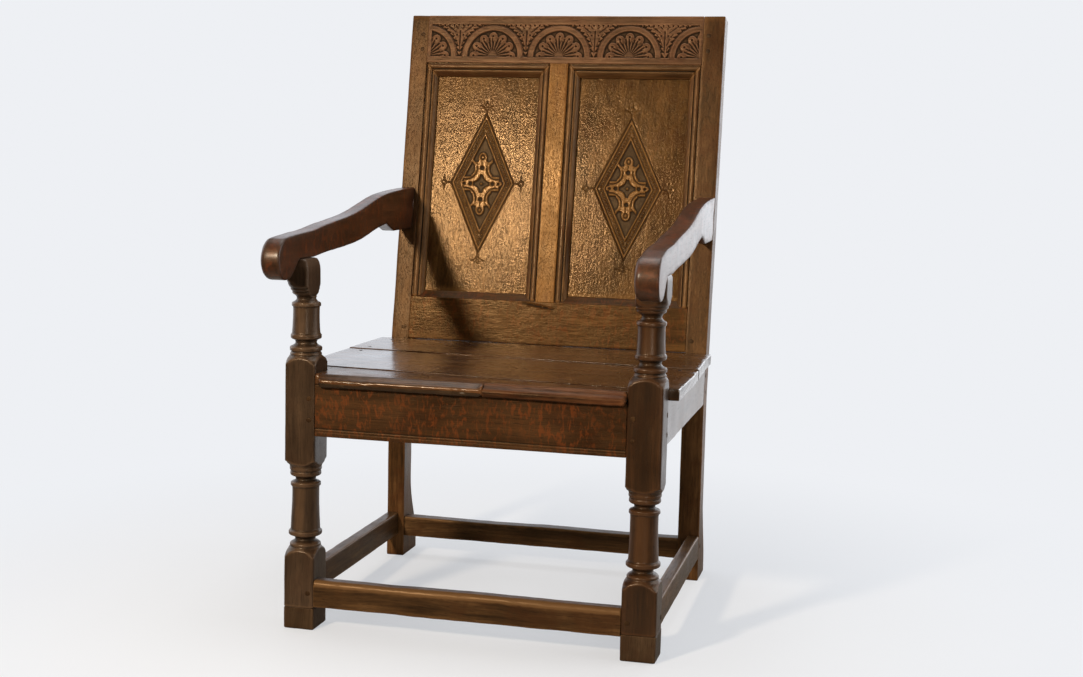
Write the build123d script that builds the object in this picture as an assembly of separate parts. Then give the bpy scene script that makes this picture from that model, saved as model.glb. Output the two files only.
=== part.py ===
"""Joined oak wainscot armchair, in millimetres, +Z up, standing on z = 0.

The frame is pegged mortise-and-tenon joinery: two turned front legs that run on
up as arm supports, two raked back posts, four seat rails, four stretchers low
down, a panelled back and a nailed board seat.  The chair is laid out with x to
the sitter's left hand side, the front faces of the front legs on y = 0 and the
back towards +y; at the end it is set down with its outline centred on the
origin.
"""
from build123d import *
import math
import os

# ---------------------------------------------------------------- main sizes
FRONT_WIDTH = 634.0        # across the outer faces of the front legs
REAR_NARROWER = 7.0        # the back posts stand this much closer, outer face to outer face
POST_SETBACK = 512.0       # front face of the front legs to the back posts
SEAT_HEIGHT = 437.0        # top of the seat boards
BACK_LENGTH = 718.8        # back posts above the bend, along the rake
RAKE_START = 366.0         # height at which the back posts bend
RAKE_ANGLE = 9.45          # lean of the back, degrees
ARM_SEAT = 620.0           # top of the arm supports

SIDES = {"left": -1, "right": 1}
LEG_WIDE = {"left": 53.5, "right": 58.0}
LEG_DEEP = {"left": 59.0, "right": 57.0}
POST_WIDE = {"left": 34.5, "right": 40.5}
POST_DEEP = 43.0

# ---------------------------------------------------------------- joints
TENON_THICK = 10.0
TENON_SHOULDER = 10.0      # tenon set in from the rail's top and bottom edges
FRONT_TENON_LONG = 36.0    # front rail and stretcher in the legs
SIDE_TENON_GAP = 2.0       # side tenons stop this far behind the front ones
POST_TENON_LONG = 28.0     # side rails and side stretchers in the posts
CROSS_TENON_GAP = 3.0      # back rail and back stretcher tenons stop this far from the side ones
BACK_TENON_LONG = 20.0     # crest rail and bottom rail of the back
PEG_RADIUS = 4.5
PEG_LONG = 34.0
PEG_PAST = 1.5             # post pegs reach this far past the side tenons
PEG_GAP = 0.1              # all round a peg in its hole
PEG_INSET = 10.5           # peg centre from the shoulder line
POST_PEG_INSET = 18.5      # pegs in the posts' sides, from their front faces
FRONT_RAIL_PEG_DROPS = (24.0, 60.0)    # pegs below the seat boards
SIDE_RAIL_PEG_INSET = 22.0             # pegs from the rail's top and bottom edges
CREST_PEG_DROPS = (38.0, 68.0)         # pegs below the top of the back
BOTTOM_PEG_RISE = 22.0                 # peg above the seat

# ---------------------------------------------------------------- rails
RAIL_THICK = 26.0
FRONT_RAIL_INSET = 1.0
FRONT_RAIL_DEEP = 87.0
SIDE_RAIL_DEEP = 76.0
SIDE_RAIL_INSET = 0.5      # behind the post's outer face
BACK_RAIL_INSET = 2.0      # behind the post's front face
SCRATCH_LINE_UP = 13.0     # scratched line above the front rail's lower edge
SCRATCH_LINE_WIDE = 3.0
SCRATCH_LINE_DEEP = 1.5

# ---------------------------------------------------------------- stretchers
STRETCHER_FLOOR = 40.0     # undersides of the front and back ones above the floor
SIDE_STRETCHER_FLOOR = 42.0
FRONT_STRETCHER = (24.5, 46.0)     # thickness, depth
SIDE_STRETCHER = (22.0, 45.0)
BACK_STRETCHER = (28.0, 39.0)
BACK_STRETCHER_INSET = 3.0
STRETCHER_TENON_SHOULDER = 6.0

# ---------------------------------------------------------------- seat
BOARD_THICK = 20.0
SEAT_OVERHANG = 16.0       # past the front legs' outer faces
NOSING = 11.0              # past the front legs' front faces
NOSING_ROUND = 8.0
NOSING_UNDER_ROUND = 4.0
BOARD_FIT = 0.3            # clearance round legs and posts
JOINT_FRONT = (100.0, 34.0)        # y of the front board joint, at left and right edge
JOINT_BACK = (340.0, 299.0)        # y of the rear board joint
PATCH_START = 25.0         # x at which the new piece of nosing begins
PATCH_DEEP = 19.0          # its width, front to back
NAIL_RADIUS = 3.2
NAIL_LONG = 38.0
NAIL_PROUD = 0.6
NAIL_FROM_JOINT = 24.0

# ---------------------------------------------------------------- back frame
CREST_DEEP = 94.3
BOTTOM_RAIL_DEEP = 98.0
BOTTOM_RAIL_CHAMFER = 15.0
BACK_RAIL_THICK = 30.0
MUNTIN = (-25.2, 11.6)     # left and right edge
PANEL_SET_BACK = 16.0      # panel face behind the frame's face
PANEL_THICK = 9.0
PANEL_TONGUE = 8.0         # panel in its groove
PANEL_FIT = 0.3
MOULDING_WIDE = 23.0
TOP_MOULDING_WIDE = 26.0
MOULDING_SINK = 0.6        # highest member behind the frame's face
MOULDING_PLACES = {"left": ("top", "stile", "muntin"), "right": ("top", "muntin", "stile")}

# ---------------------------------------------------------------- back posts' heel
HEEL_BACK = 37.0           # kick of the heel behind the post
HEEL_TOE = 18.0            # upright part of the heel
HEEL_TOP = 158.0           # where the heel dies into the post

# ---------------------------------------------------------------- front legs
TIP_HEIGHT = {"left": 37.0, "right": 44.0}
TIP_DOWEL_RADIUS = 8.0
TIP_DOWEL_CLEAR = 2.5              # dowel stops this far under the stretcher pegs
TIP_DOWEL_INSET = (15.0, 18.0)     # from the leg's inner and back faces, clear of the tenons
FOOT_BLOCK_TOP = {"left": 123.5, "right": 117.5}
MAIN_BLOCK_BELOW_SEAT = {"left": 149.5, "right": 153.0}
MAIN_BLOCK_ABOVE_SEAT = {"left": 13.0, "right": 9.0}
NECK_RADIUS = 17.0
RING_RADIUS = 25.2
COLUMN_FOOT_RADIUS = 25.0
COLUMN_HEAD_RADIUS = 22.6
ARM_COLUMN_FOOT_RADIUS = 23.4
ARM_COLUMN_HEAD_RADIUS = 21.3
KNOB_WIDE = {"left": 42.0, "right": 56.0}
KNOB_DEEP = 64.0           # square knob under the arm, with its turned cup
KNOB_TOP_ROUND = {"left": 11.0, "right": 4.0}
ARM_DOWEL_RADIUS = 7.0     # round tenon into the arm
ARM_DOWEL_LONG = 24.0

# ---------------------------------------------------------------- arms
ARM_LIFT = {"left": 3.0, "right": 0.0}
ARM_NOSE = 86.0            # scroll in front of the legs
ARM_FRONT_WIDE = {"left": 34.5, "right": 39.0}
ARM_REAR_WIDE = {"left": 27.0, "right": 32.0}
ARM_MIDDLE_INSET = {"left": 8.5, "right": 18.5}    # arm's middle at its nose, from the leg's outer face
# arm outlines as (share of the run to the post, rise above the arm supports)
ARM_TOP = [(0.877, 107.5), (0.771, 102), (0.665, 94), (0.577, 83.5), (0.493, 73),
           (0.383, 63.5), (0.213, 53), (0.106, 45.5), (0.0, 41.5)]
ARM_BELLY = [(0.213, 6), (0.352, 11), (0.45, 16), (0.545, 25), (0.639, 36)]
ARM_REAR_RISE = 112.0
ARM_NOTCH = (155.0, 43.5)          # in front of the post, above the arm supports
ARM_SPUR = (110.0, 28.0)
ARM_OVERRUN = 15.0                 # arm stock past the post's face before it is fitted
ARM_TENON = (12.0, 24.0, 46.0)     # thickness, length, height
ARM_TENON_RISE = 48.0              # tenon's underside above the arm supports


# ================================================================ helpers
def block(x0, x1, y0, y1, z0, z1):
    """Squared timber between two corners."""
    return Pos(x0, y0, z0) * Box(x1 - x0, y1 - y0, z1 - z0, align=(Align.MIN,) * 3)


def side_profile(lines, x0, x1):
    """Timber sawn to an outline in the y-z plane and x0 to x1 wide."""
    return Pos(x0, 0, 0) * extrude(Plane.YZ * make_face(lines), amount=x1 - x0)


def plan_profile(points, z0, z1):
    """Board cut to a straight-sided outline in plan."""
    return extrude(Pos(0, 0, z0) * make_face(Polyline(*points, close=True)), amount=z1 - z0)


def turned(stations):
    """Solid of revolution about z from (height, radius, bulge) stations.

    The bulge is the sagitta of the stretch that leads up to the station: a
    bead is positive, a hollow negative and a straight stretch 0.
    """
    edges = []
    height, radius, _ = stations[0]
    start = (radius, height)
    for height, radius, bulge in stations[1:]:
        end = (radius, height)
        edges.append(SagittaArc(start, end, bulge) if bulge else Line(start, end))
        start = end
    foot, head = stations[0], stations[-1]
    edges += [Line((head[1], head[0]), (0, head[0])), Line((0, head[0]), (0, foot[0])),
              Line((0, foot[0]), (foot[1], foot[0]))]
    return revolve(Plane.XZ * make_face(edges), axis=Axis.Z)


def along_y(x, z, y, length, radius):
    """Round pin that runs back from y."""
    return Pos(x, y, z) * Rot(-90, 0, 0) * upright_pin(0, 0, 0, length, radius)


def along_x(x, y, z, length, radius):
    """Round pin whose ends are at x and x + length, length either way."""
    start = min(x, x + length)
    return Pos(start, y, z) * Rot(0, 90, 0) * upright_pin(0, 0, 0, abs(length), radius)


def upright_pin(x, y, z0, z1, radius):
    """Round pin between two heights."""
    return Pos(x, y, z0) * Cylinder(radius, z1 - z0, align=(Align.CENTER, Align.CENTER, Align.MIN))


def leg_faces(side):
    """Inner and outer x of a front leg."""
    outer = SIDES[side] * FRONT_WIDTH / 2
    return outer - SIDES[side] * LEG_WIDE[side], outer


def post_faces(side):
    """Inner and outer x of a back post."""
    outer = SIDES[side] * REAR_WIDTH / 2
    return outer - SIDES[side] * POST_WIDE[side], outer


def arm_middle(side):
    """x of an arm's middle line at its nose."""
    return SIDES[side] * (FRONT_WIDTH / 2 - ARM_MIDDLE_INSET[side])


def span(side_faces):
    """Lower and higher x of a pair of faces."""
    return min(side_faces), max(side_faces)


REAR_WIDTH = FRONT_WIDTH - REAR_NARROWER
RAKE = math.radians(RAKE_ANGLE)
BACK_PLANE = Location((0, POST_SETBACK, RAKE_START), (-RAKE_ANGLE, 0, 0))
SEAT_UNDER = SEAT_HEIGHT - BOARD_THICK
STRETCHER_PEG_HEIGHT = STRETCHER_FLOOR + FRONT_STRETCHER[1] / 2
FRONT_TENON_BACK = FRONT_RAIL_INSET + (RAIL_THICK + TENON_THICK) / 2
# inner cheek of the side rails' tenons, from the posts' outer faces
SIDE_TENON_CHEEK = SIDE_RAIL_INSET + (RAIL_THICK + TENON_THICK) / 2


def up_the_back(height):
    """Distance along the raked face at which it reaches a height."""
    return (height - RAKE_START) / math.cos(RAKE)


def face_of_back(height):
    """y of the posts' front face at a height above the bend."""
    return POST_SETBACK + (height - RAKE_START) * math.tan(RAKE)


# ================================================================ back posts
def back_post(side):
    """Sawn post: upright with a kicked heel below, raked above the bend."""
    top = RAKE_START + BACK_LENGTH * math.cos(RAKE)
    back = POST_SETBACK + POST_DEEP
    bend_drop = POST_DEEP * math.tan(RAKE / 2)
    front_top = (POST_SETBACK + BACK_LENGTH * math.sin(RAKE), top)
    back_top = (front_top[0] + POST_DEEP * math.cos(RAKE), top - POST_DEEP * math.sin(RAKE))
    toe = (back + HEEL_BACK, HEEL_TOE)
    lines = [
        Line((POST_SETBACK, 0), (POST_SETBACK, RAKE_START)),
        Line((POST_SETBACK, RAKE_START), front_top),
        Line(front_top, back_top),
        Line(back_top, (back, RAKE_START - bend_drop)),
        Line((back, RAKE_START - bend_drop), (back, HEEL_TOP)),
        Spline((back, HEEL_TOP), toe, tangents=[(0, -1), (0.1, -1)], tangent_scalars=[1.2, 1.0]),
        Line(toe, (toe[0], 0)),
        Line((toe[0], 0), (POST_SETBACK, 0)),
    ]
    return side_profile(lines, *span(post_faces(side)))


# ================================================================ front legs
def front_leg(side):
    """Squared stock turned to a baluster below and above the seat block."""
    inner, outer = leg_faces(side)
    middle = (inner + outer) / 2
    deep = LEG_DEEP[side]
    corner = math.hypot(LEG_WIDE[side], deep) / 2
    foot = FOOT_BLOCK_TOP[side]
    low = SEAT_HEIGHT - MAIN_BLOCK_BELOW_SEAT[side]
    high = SEAT_HEIGHT + MAIN_BLOCK_ABOVE_SEAT[side]
    top = ARM_SEAT + ARM_LIFT[side]
    knob = top - KNOB_DEEP
    knob_half = KNOB_WIDE[side] / 2
    full = corner + 1
    envelope = turned([
        (TIP_HEIGHT[side], full, 0),
        (foot, full, 0), (foot + 0.8, corner, 0),
        (foot + 19, 25, -3), (foot + 28, NECK_RADIUS, -2),                  # ogee shoulder
        (foot + 34, RING_RADIUS + 0.6, -2.5), (foot + 43, RING_RADIUS + 0.6, 1.4),
        (foot + 45, COLUMN_FOOT_RADIUS, 0),                                 # foot of the column
        (low - 49, COLUMN_HEAD_RADIUS, 0),                                  # head of the column
        (low - 46, 24, 0), (low - 39, 24, 0.8),
        (low - 34, NECK_RADIUS, -2), (low - 29, RING_RADIUS, -1.5),
        (low - 13.5, RING_RADIUS, 1.2), (low - 8, 28, 0),
        (low - 0.8, corner, 1.5), (low, full, 0),                           # seat block
        (high, full, 0), (high + 0.8, corner, 0),
        (high + 11, 28, 1.5), (high + 15, RING_RADIUS - 1, 0),
        (high + 18, RING_RADIUS, 0), (high + 28, RING_RADIUS, 1.2),
        (high + 37, NECK_RADIUS, -2.5), (high + 41, 23.4, -1.5),
        (high + 47, 23.9, 0.9), (high + 49, ARM_COLUMN_FOOT_RADIUS, 0),
        (knob - 13, ARM_COLUMN_HEAD_RADIUS, 0),
        (knob - 11, 21.8, 0), (knob - 5, 21.4, 0.8),
        (knob + 1, NECK_RADIUS - 0.8, -1.4), (knob + 6, 20.5, -1),          # cup of the knob
        (knob + 15, knob_half + 2, -1.5), (knob + 26, knob_half * math.sqrt(2) + 1, -1),
        (top, knob_half * math.sqrt(2) + 1, 0),
    ])
    x0, x1 = span((inner, outer))
    stock = block(x0, x1, 0, deep, TIP_HEIGHT[side], knob)
    square = block(middle - knob_half, middle + knob_half,
                   deep / 2 - knob_half, deep / 2 + knob_half, knob, top)
    square = fillet(square.faces().sort_by(Axis.Z)[-1].edges(), KNOB_TOP_ROUND[side])
    leg = (stock + square) & (Pos(middle, deep / 2, 0) * envelope)
    leg += arm_dowel(side)
    return leg - tip_dowel(side)


def tip_dowel(side):
    """Dowel that stands on a foot tip, behind the front tenon and inside the side one."""
    x = leg_faces(side)[0] + SIDES[side] * TIP_DOWEL_INSET[0]
    y = LEG_DEEP[side] - TIP_DOWEL_INSET[1]
    return upright_pin(x, y, TIP_HEIGHT[side], STRETCHER_PEG_HEIGHT - PEG_RADIUS - TIP_DOWEL_CLEAR,
                       TIP_DOWEL_RADIUS)


def arm_dowel(side):
    """Round tenon that the leg carries up into the arm, midway between their middles."""
    top = ARM_SEAT + ARM_LIFT[side]
    x = (sum(leg_faces(side)) / 2 + arm_middle(side)) / 2
    return upright_pin(x, LEG_DEEP[side] / 2, top, top + ARM_DOWEL_LONG, ARM_DOWEL_RADIUS)


def foot_tip(side):
    """New end scarfed to a worn foot, with a dowel up into it."""
    inner, outer = leg_faces(side)
    x0, x1 = span((inner, outer))
    tip = block(x0, x1, 0, LEG_DEEP[side], 0, TIP_HEIGHT[side])
    tip = chamfer(tip.faces().sort_by(Axis.Z)[0].edges(), 2)
    return tip + tip_dowel(side)


# ================================================================ rails and stretchers
def cross_rail(faces, ends, thick, y0, z0, z1, shoulder):
    """Rail between two members that face each other; its tenons reach to the two ends."""
    cheek = y0 + (thick - TENON_THICK) / 2
    rail = block(*faces, y0, y0 + thick, z0, z1)
    return rail + block(*ends, cheek, cheek + TENON_THICK, z0 + shoulder, z1 - shoulder)


def side_member(side, thick, z0, z1, shoulder):
    """Rail or stretcher from a front leg to a back post, before the post is cut from it."""
    outer = post_faces(side)[1] - SIDES[side] * SIDE_RAIL_INSET
    x0, x1 = span((outer, outer - SIDES[side] * thick))
    middle = (x0 + x1) / 2
    front = LEG_DEEP[side]
    raked = face_of_back(z1) if z1 > RAKE_START else POST_SETBACK
    body = block(x0, x1, front, raked + 1, z0, z1) - POSTS[side]
    front_end = FRONT_TENON_BACK + SIDE_TENON_GAP
    tenon = block(middle - TENON_THICK / 2, middle + TENON_THICK / 2, front_end,
                  POST_SETBACK + POST_TENON_LONG, z0 + shoulder, z1 - shoulder)
    return body + tenon


# ================================================================ arms
def arm(side):
    """Arm sawn to a drooping outline with a scrolled end, tapered in plan."""
    lift = ARM_LIFT[side]
    seat = ARM_SEAT + lift
    post = face_of_back(seat + 80)
    deep = LEG_DEEP[side]
    nose = -ARM_NOSE
    end = post + ARM_OVERRUN
    top = Spline((end, seat + ARM_REAR_RISE), *[(post * share, seat + rise) for share, rise in ARM_TOP],
                 (nose + 32, seat + 36.5))
    scroll = Spline((nose + 32, seat + 36.5), (nose + 10, seat + 27), (nose, seat + 5),
                    (nose + 6, seat - 18), (nose + 24, seat - 31), (nose + 47, seat - 29.5),
                    (nose + 66, seat - 17), (nose + 78, seat - 5), (2, seat),
                    tangents=[(-1, -0.1), (1, 0.2)], tangent_scalars=[1, 0.4])
    notch = (post - ARM_NOTCH[0], seat + ARM_NOTCH[1])
    spur = (post - ARM_SPUR[0], seat + ARM_SPUR[1])
    belly = Spline((deep + 3, seat), *[(post * share, seat + rise) for share, rise in ARM_BELLY], notch)
    lines = [top, scroll, Line((2, seat), (deep + 3, seat)), belly, Line(notch, spur),
             Line(spur, (end, seat + ARM_SPUR[1] + 2)),
             Line((end, seat + ARM_SPUR[1] + 2), (end, seat + ARM_REAR_RISE))]
    outer = post_faces(side)[1] - SIDES[side] * SIDE_RAIL_INSET
    inner = outer - SIDES[side] * ARM_REAR_WIDE[side]
    nose_outer = arm_middle(side) + SIDES[side] * ARM_FRONT_WIDE[side] / 2
    nose_inner = arm_middle(side) - SIDES[side] * ARM_FRONT_WIDE[side] / 2
    start, reach = nose - 1, end + 5
    sawn = side_profile(lines, *span((nose_outer + SIDES[side] * 10, nose_inner - SIDES[side] * 20)))
    plan = plan_profile([(nose_outer, start), (outer, reach), (inner, reach), (nose_inner, start)],
                        seat - ARM_NOSE, seat + ARM_REAR_RISE + 1)
    timber = (sawn & plan) - POSTS[side]
    timber = timber.solids().sort_by(Axis.Y)[0]
    thick, long, tall = ARM_TENON
    middle = (outer + inner) / 2
    tenon_low = seat + ARM_TENON_RISE
    tenon = block(middle - thick / 2, middle + thick / 2, post - 30, face_of_back(tenon_low) + long,
                  tenon_low, tenon_low + tall)
    return timber + tenon - arm_dowel(side)


# ================================================================ back frame, in its own raked plane
def back_frame():
    """Crest rail, bottom rail and muntin, with their tenons and panel grooves."""
    left, right = post_faces("left")[0], post_faces("right")[0]
    bottom = up_the_back(SEAT_HEIGHT + BOARD_FIT)
    sill = bottom + BOTTOM_RAIL_DEEP
    head = BACK_LENGTH - CREST_DEEP
    cheek = (BACK_RAIL_THICK - TENON_THICK) / 2
    tenon_x = (left - BACK_TENON_LONG, right + BACK_TENON_LONG)
    tenon = (*tenon_x, cheek, cheek + TENON_THICK)
    crest = block(left, right, 0, BACK_RAIL_THICK, head, BACK_LENGTH)
    crest += block(*tenon, head + TENON_SHOULDER, BACK_LENGTH - TENON_SHOULDER)
    back_bottom = bottom + BACK_RAIL_THICK * math.tan(RAKE)
    rail = side_profile([
        Line((0, bottom), (BACK_RAIL_THICK, back_bottom)),
        Line((BACK_RAIL_THICK, back_bottom), (BACK_RAIL_THICK, sill)),
        Line((BACK_RAIL_THICK, sill), (PANEL_SET_BACK, sill)),
        Line((PANEL_SET_BACK, sill), (0, sill - BOTTOM_RAIL_CHAMFER)),
        Line((0, sill - BOTTOM_RAIL_CHAMFER), (0, bottom))], left, right)
    rail += block(*tenon, bottom + TENON_SHOULDER, sill - 2 * TENON_SHOULDER)
    upright = block(*MUNTIN, 0, BACK_RAIL_THICK, sill - BOTTOM_RAIL_CHAMFER, head)
    upright += block(MUNTIN[0] + 6, MUNTIN[1] - 6, cheek, cheek + TENON_THICK,
                     sill - BOTTOM_RAIL_CHAMFER - 26, head + 26)
    rail -= upright
    crest -= upright
    return crest, rail, upright, sill, head


def moulding_strip(length, wide):
    """Moulded strip: quirk, bead, groove and ovolo, lying along x with its back on the frame's edge."""
    face = MOULDING_SINK
    lines = [
        Line((0, PANEL_SET_BACK), (0, face + 3)),
        Line((0, face + 3), (2.5, face + 3)),
        Line((2.5, face + 3), (2.5, face + 1.5)),
        SagittaArc((2.5, face + 1.5), (11, face + 1.5), -1.5),
        Line((11, face + 1.5), (11.5, face + 5)),
        Line((11.5, face + 5), (14, face + 5)),
        Line((14, face + 5), (14, face + 3)),
        SagittaArc((14, face + 3), (wide, 12), -2),
        Line((wide, 12), (wide, PANEL_SET_BACK)),
        Line((wide, PANEL_SET_BACK), (0, PANEL_SET_BACK))]
    return extrude(Plane.YZ * make_face(lines), amount=length)


def panel_mouldings(left, right, sill, head, rail):
    """Three strips of one opening: top, left and right, mitred at the top corners."""
    wide, top_wide = MOULDING_WIDE, TOP_MOULDING_WIDE
    low = sill - BOTTOM_RAIL_CHAMFER
    top = Pos(left, 0, head) * Rot(-90, 0, 0) * moulding_strip(right - left, top_wide)
    mitres = (left + wide, head - top_wide), (right - wide, head - top_wide)
    top_wedge = side_cut([(left, head), (right, head), mitres[1], mitres[0]])
    upright = Plane(origin=(left, 0, low), x_dir=(0, 0, 1), z_dir=(0, 1, 0)).location
    left_strip = upright * moulding_strip(head - low, wide)
    left_wedge = side_cut([(left, head), mitres[0], (left + wide, low), (left, low)])
    right_strip = left_strip.mirror(Plane.YZ.offset((left + right) / 2))
    right_wedge = side_cut([(right, head), mitres[1], (right - wide, low), (right, low)])
    return (top & top_wedge, (left_strip & left_wedge) - rail, (right_strip & right_wedge) - rail)


def side_cut(points):
    """Block with a front-view outline, for mitring the strips."""
    return Pos(0, PANEL_SET_BACK + 1, 0) * extrude(
        Plane.XZ * make_face(Polyline(*points, close=True)), amount=PANEL_SET_BACK + 2)


# ================================================================ seat
def joint_at(joint, x):
    """y of a slanting board joint at x."""
    edge = FRONT_WIDTH / 2 + SEAT_OVERHANG
    share = (x + edge) / (2 * edge)
    return joint[0] + share * (joint[1] - joint[0])


def seat_boards():
    """Three boards and the pieced nosing, notched round the legs and posts."""
    edge = FRONT_WIDTH / 2 + SEAT_OVERHANG
    back = POST_SETBACK + BACK_RAIL_INSET + RAIL_THICK
    notch = face_of_back(SEAT_UNDER) - BOARD_FIT
    z0, z1 = SEAT_UNDER, SEAT_HEIGHT
    corners = {"front": (-NOSING, -NOSING, joint_at(JOINT_FRONT, -edge), joint_at(JOINT_FRONT, edge)),
               "middle": (joint_at(JOINT_FRONT, -edge), joint_at(JOINT_FRONT, edge),
                          joint_at(JOINT_BACK, -edge), joint_at(JOINT_BACK, edge)),
               "back": (joint_at(JOINT_BACK, -edge), joint_at(JOINT_BACK, edge), back, back)}
    boards = {}
    for name, (y_left, y_right, y_left_end, y_right_end) in corners.items():
        boards[name] = plan_profile([(-edge, y_left), (edge, y_right), (edge, y_right_end),
                                     (-edge, y_left_end)], z0, z1)
    for side in SIDES:
        leg_inner = leg_faces(side)[0] - SIDES[side] * BOARD_FIT
        post_inner = post_faces(side)[0] - SIDES[side] * BOARD_FIT
        beyond = SIDES[side] * (edge + 1)
        leg_back = LEG_DEEP[side] + BOARD_FIT
        leg_notch = block(*span((leg_inner, beyond)), -NOSING - 1, leg_back, z0 - 1, z1 + 1)
        post_notch = block(*span((post_inner, beyond)), notch, back + 1, z0 - 1, z1 + 1)
        boards["front"] -= leg_notch
        boards["middle"] -= leg_notch
        boards["back"] -= post_notch
    front = boards["front"]
    nosing = front.edges().filter_by(Axis.X).group_by(Axis.Y)[0].sort_by(Axis.Z)
    front = fillet(nosing[-1], NOSING_ROUND)
    under = front.edges().filter_by(Axis.X).group_by(Axis.Z)[0].sort_by(Axis.Y)[0]
    front = fillet(under, NOSING_UNDER_ROUND)
    patch_end = leg_faces("right")[0]
    cut = block(PATCH_START, patch_end + 1, -NOSING - 1, PATCH_DEEP - NOSING, z0 - 1, z1 + 1)
    patch = front & cut
    boards["front"] = front - cut
    boards["patch"] = patch
    return boards


# ================================================================ assembly
POSTS = {side: back_post(side) for side in SIDES}
parts = {}
legs = {side: front_leg(side) for side in SIDES}
leg_gap = (leg_faces("left")[0], leg_faces("right")[0])
post_gap = (post_faces("left")[0], post_faces("right")[0])

front_rail_low = SEAT_UNDER - FRONT_RAIL_DEEP
side_rail_low = SEAT_UNDER - SIDE_RAIL_DEEP
leg_tenon_ends = (leg_gap[0] - FRONT_TENON_LONG, leg_gap[1] + FRONT_TENON_LONG)
post_tenon_reach = REAR_WIDTH / 2 - SIDE_TENON_CHEEK - CROSS_TENON_GAP
post_tenon_ends = (-post_tenon_reach, post_tenon_reach)
parts["seat_rail_front"] = cross_rail(leg_gap, leg_tenon_ends, RAIL_THICK, FRONT_RAIL_INSET,
                                      front_rail_low, SEAT_UNDER, TENON_SHOULDER)
parts["seat_rail_front"] -= block(*leg_gap, 0, FRONT_RAIL_INSET + SCRATCH_LINE_DEEP,
                                  front_rail_low + SCRATCH_LINE_UP,
                                  front_rail_low + SCRATCH_LINE_UP + SCRATCH_LINE_WIDE)
parts["seat_rail_back"] = cross_rail(post_gap, post_tenon_ends, RAIL_THICK, POST_SETBACK + BACK_RAIL_INSET,
                                     side_rail_low, SEAT_UNDER, TENON_SHOULDER)
parts["stretcher_front"] = cross_rail(leg_gap, leg_tenon_ends, FRONT_STRETCHER[0], 0, STRETCHER_FLOOR,
                                      STRETCHER_FLOOR + FRONT_STRETCHER[1], STRETCHER_TENON_SHOULDER)
parts["stretcher_back"] = cross_rail(post_gap, post_tenon_ends, BACK_STRETCHER[0],
                                     POST_SETBACK + BACK_STRETCHER_INSET, STRETCHER_FLOOR,
                                     STRETCHER_FLOOR + BACK_STRETCHER[1], STRETCHER_TENON_SHOULDER)
for side in SIDES:
    parts[f"seat_rail_{side}"] = side_member(side, RAIL_THICK, side_rail_low, SEAT_UNDER, TENON_SHOULDER)
    parts[f"stretcher_{side}"] = side_member(side, SIDE_STRETCHER[0], SIDE_STRETCHER_FLOOR,
                                             SIDE_STRETCHER_FLOOR + SIDE_STRETCHER[1],
                                             STRETCHER_TENON_SHOULDER)
    parts[f"arm_{side}"] = arm(side)
    parts[f"front_foot_tip_{side}"] = foot_tip(side)

crest, bottom_rail, muntin, sill, head = back_frame()
openings = {"left": (post_gap[0], MUNTIN[0]), "right": (MUNTIN[1], post_gap[1])}
groove = (PANEL_SET_BACK, PANEL_SET_BACK + PANEL_THICK)
back_pieces = {}
panel_space = {}
for side, (x0, x1) in openings.items():
    space = block(x0 - PANEL_TONGUE, x1 + PANEL_TONGUE, *groove, sill - PANEL_TONGUE, head + PANEL_TONGUE)
    panel_space[side] = space
    crest -= space
    bottom_rail -= space
    muntin -= space
    back_pieces[f"back_panel_{side}"] = block(
        x0 - PANEL_TONGUE + PANEL_FIT, x1 + PANEL_TONGUE - PANEL_FIT, groove[0], groove[1] - PANEL_FIT,
        sill - PANEL_TONGUE + PANEL_FIT, head + PANEL_TONGUE - PANEL_FIT)
    strips = panel_mouldings(x0, x1, sill, head, bottom_rail)
    for place, strip in zip(MOULDING_PLACES[side], strips):
        back_pieces[f"moulding_{side}_{place}"] = strip
back_pieces["crest_rail"] = crest
back_pieces["back_bottom_rail"] = bottom_rail
back_pieces["back_muntin"] = muntin
for name, piece in back_pieces.items():
    parts[name] = BACK_PLANE * piece

for name, board in seat_boards().items():
    parts["seat_nosing_patch" if name == "patch" else f"seat_board_{name}"] = board

# mortises: each post and leg loses what is housed in it
for side in SIDES:
    post = POSTS[side] - (BACK_PLANE * panel_space[side])
    for name in ("crest_rail", "back_bottom_rail", "seat_rail_back", "stretcher_back",
                 f"seat_rail_{side}", f"stretcher_{side}", f"arm_{side}"):
        post -= parts[name]
    parts[f"back_post_{side}"] = post
    leg = legs[side]
    for name in ("seat_rail_front", "stretcher_front", f"seat_rail_{side}", f"stretcher_{side}"):
        leg -= parts[name]
    parts[f"front_leg_{side}"] = leg


# ---------------------------------------------------------------- pegs
def drive(group, members, peg_hole, peg):
    """Bore a peg hole through the members and add the peg to its group."""
    for name in members:
        parts[name] -= peg_hole
    PEGS.setdefault(group, []).append(peg)


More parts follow.
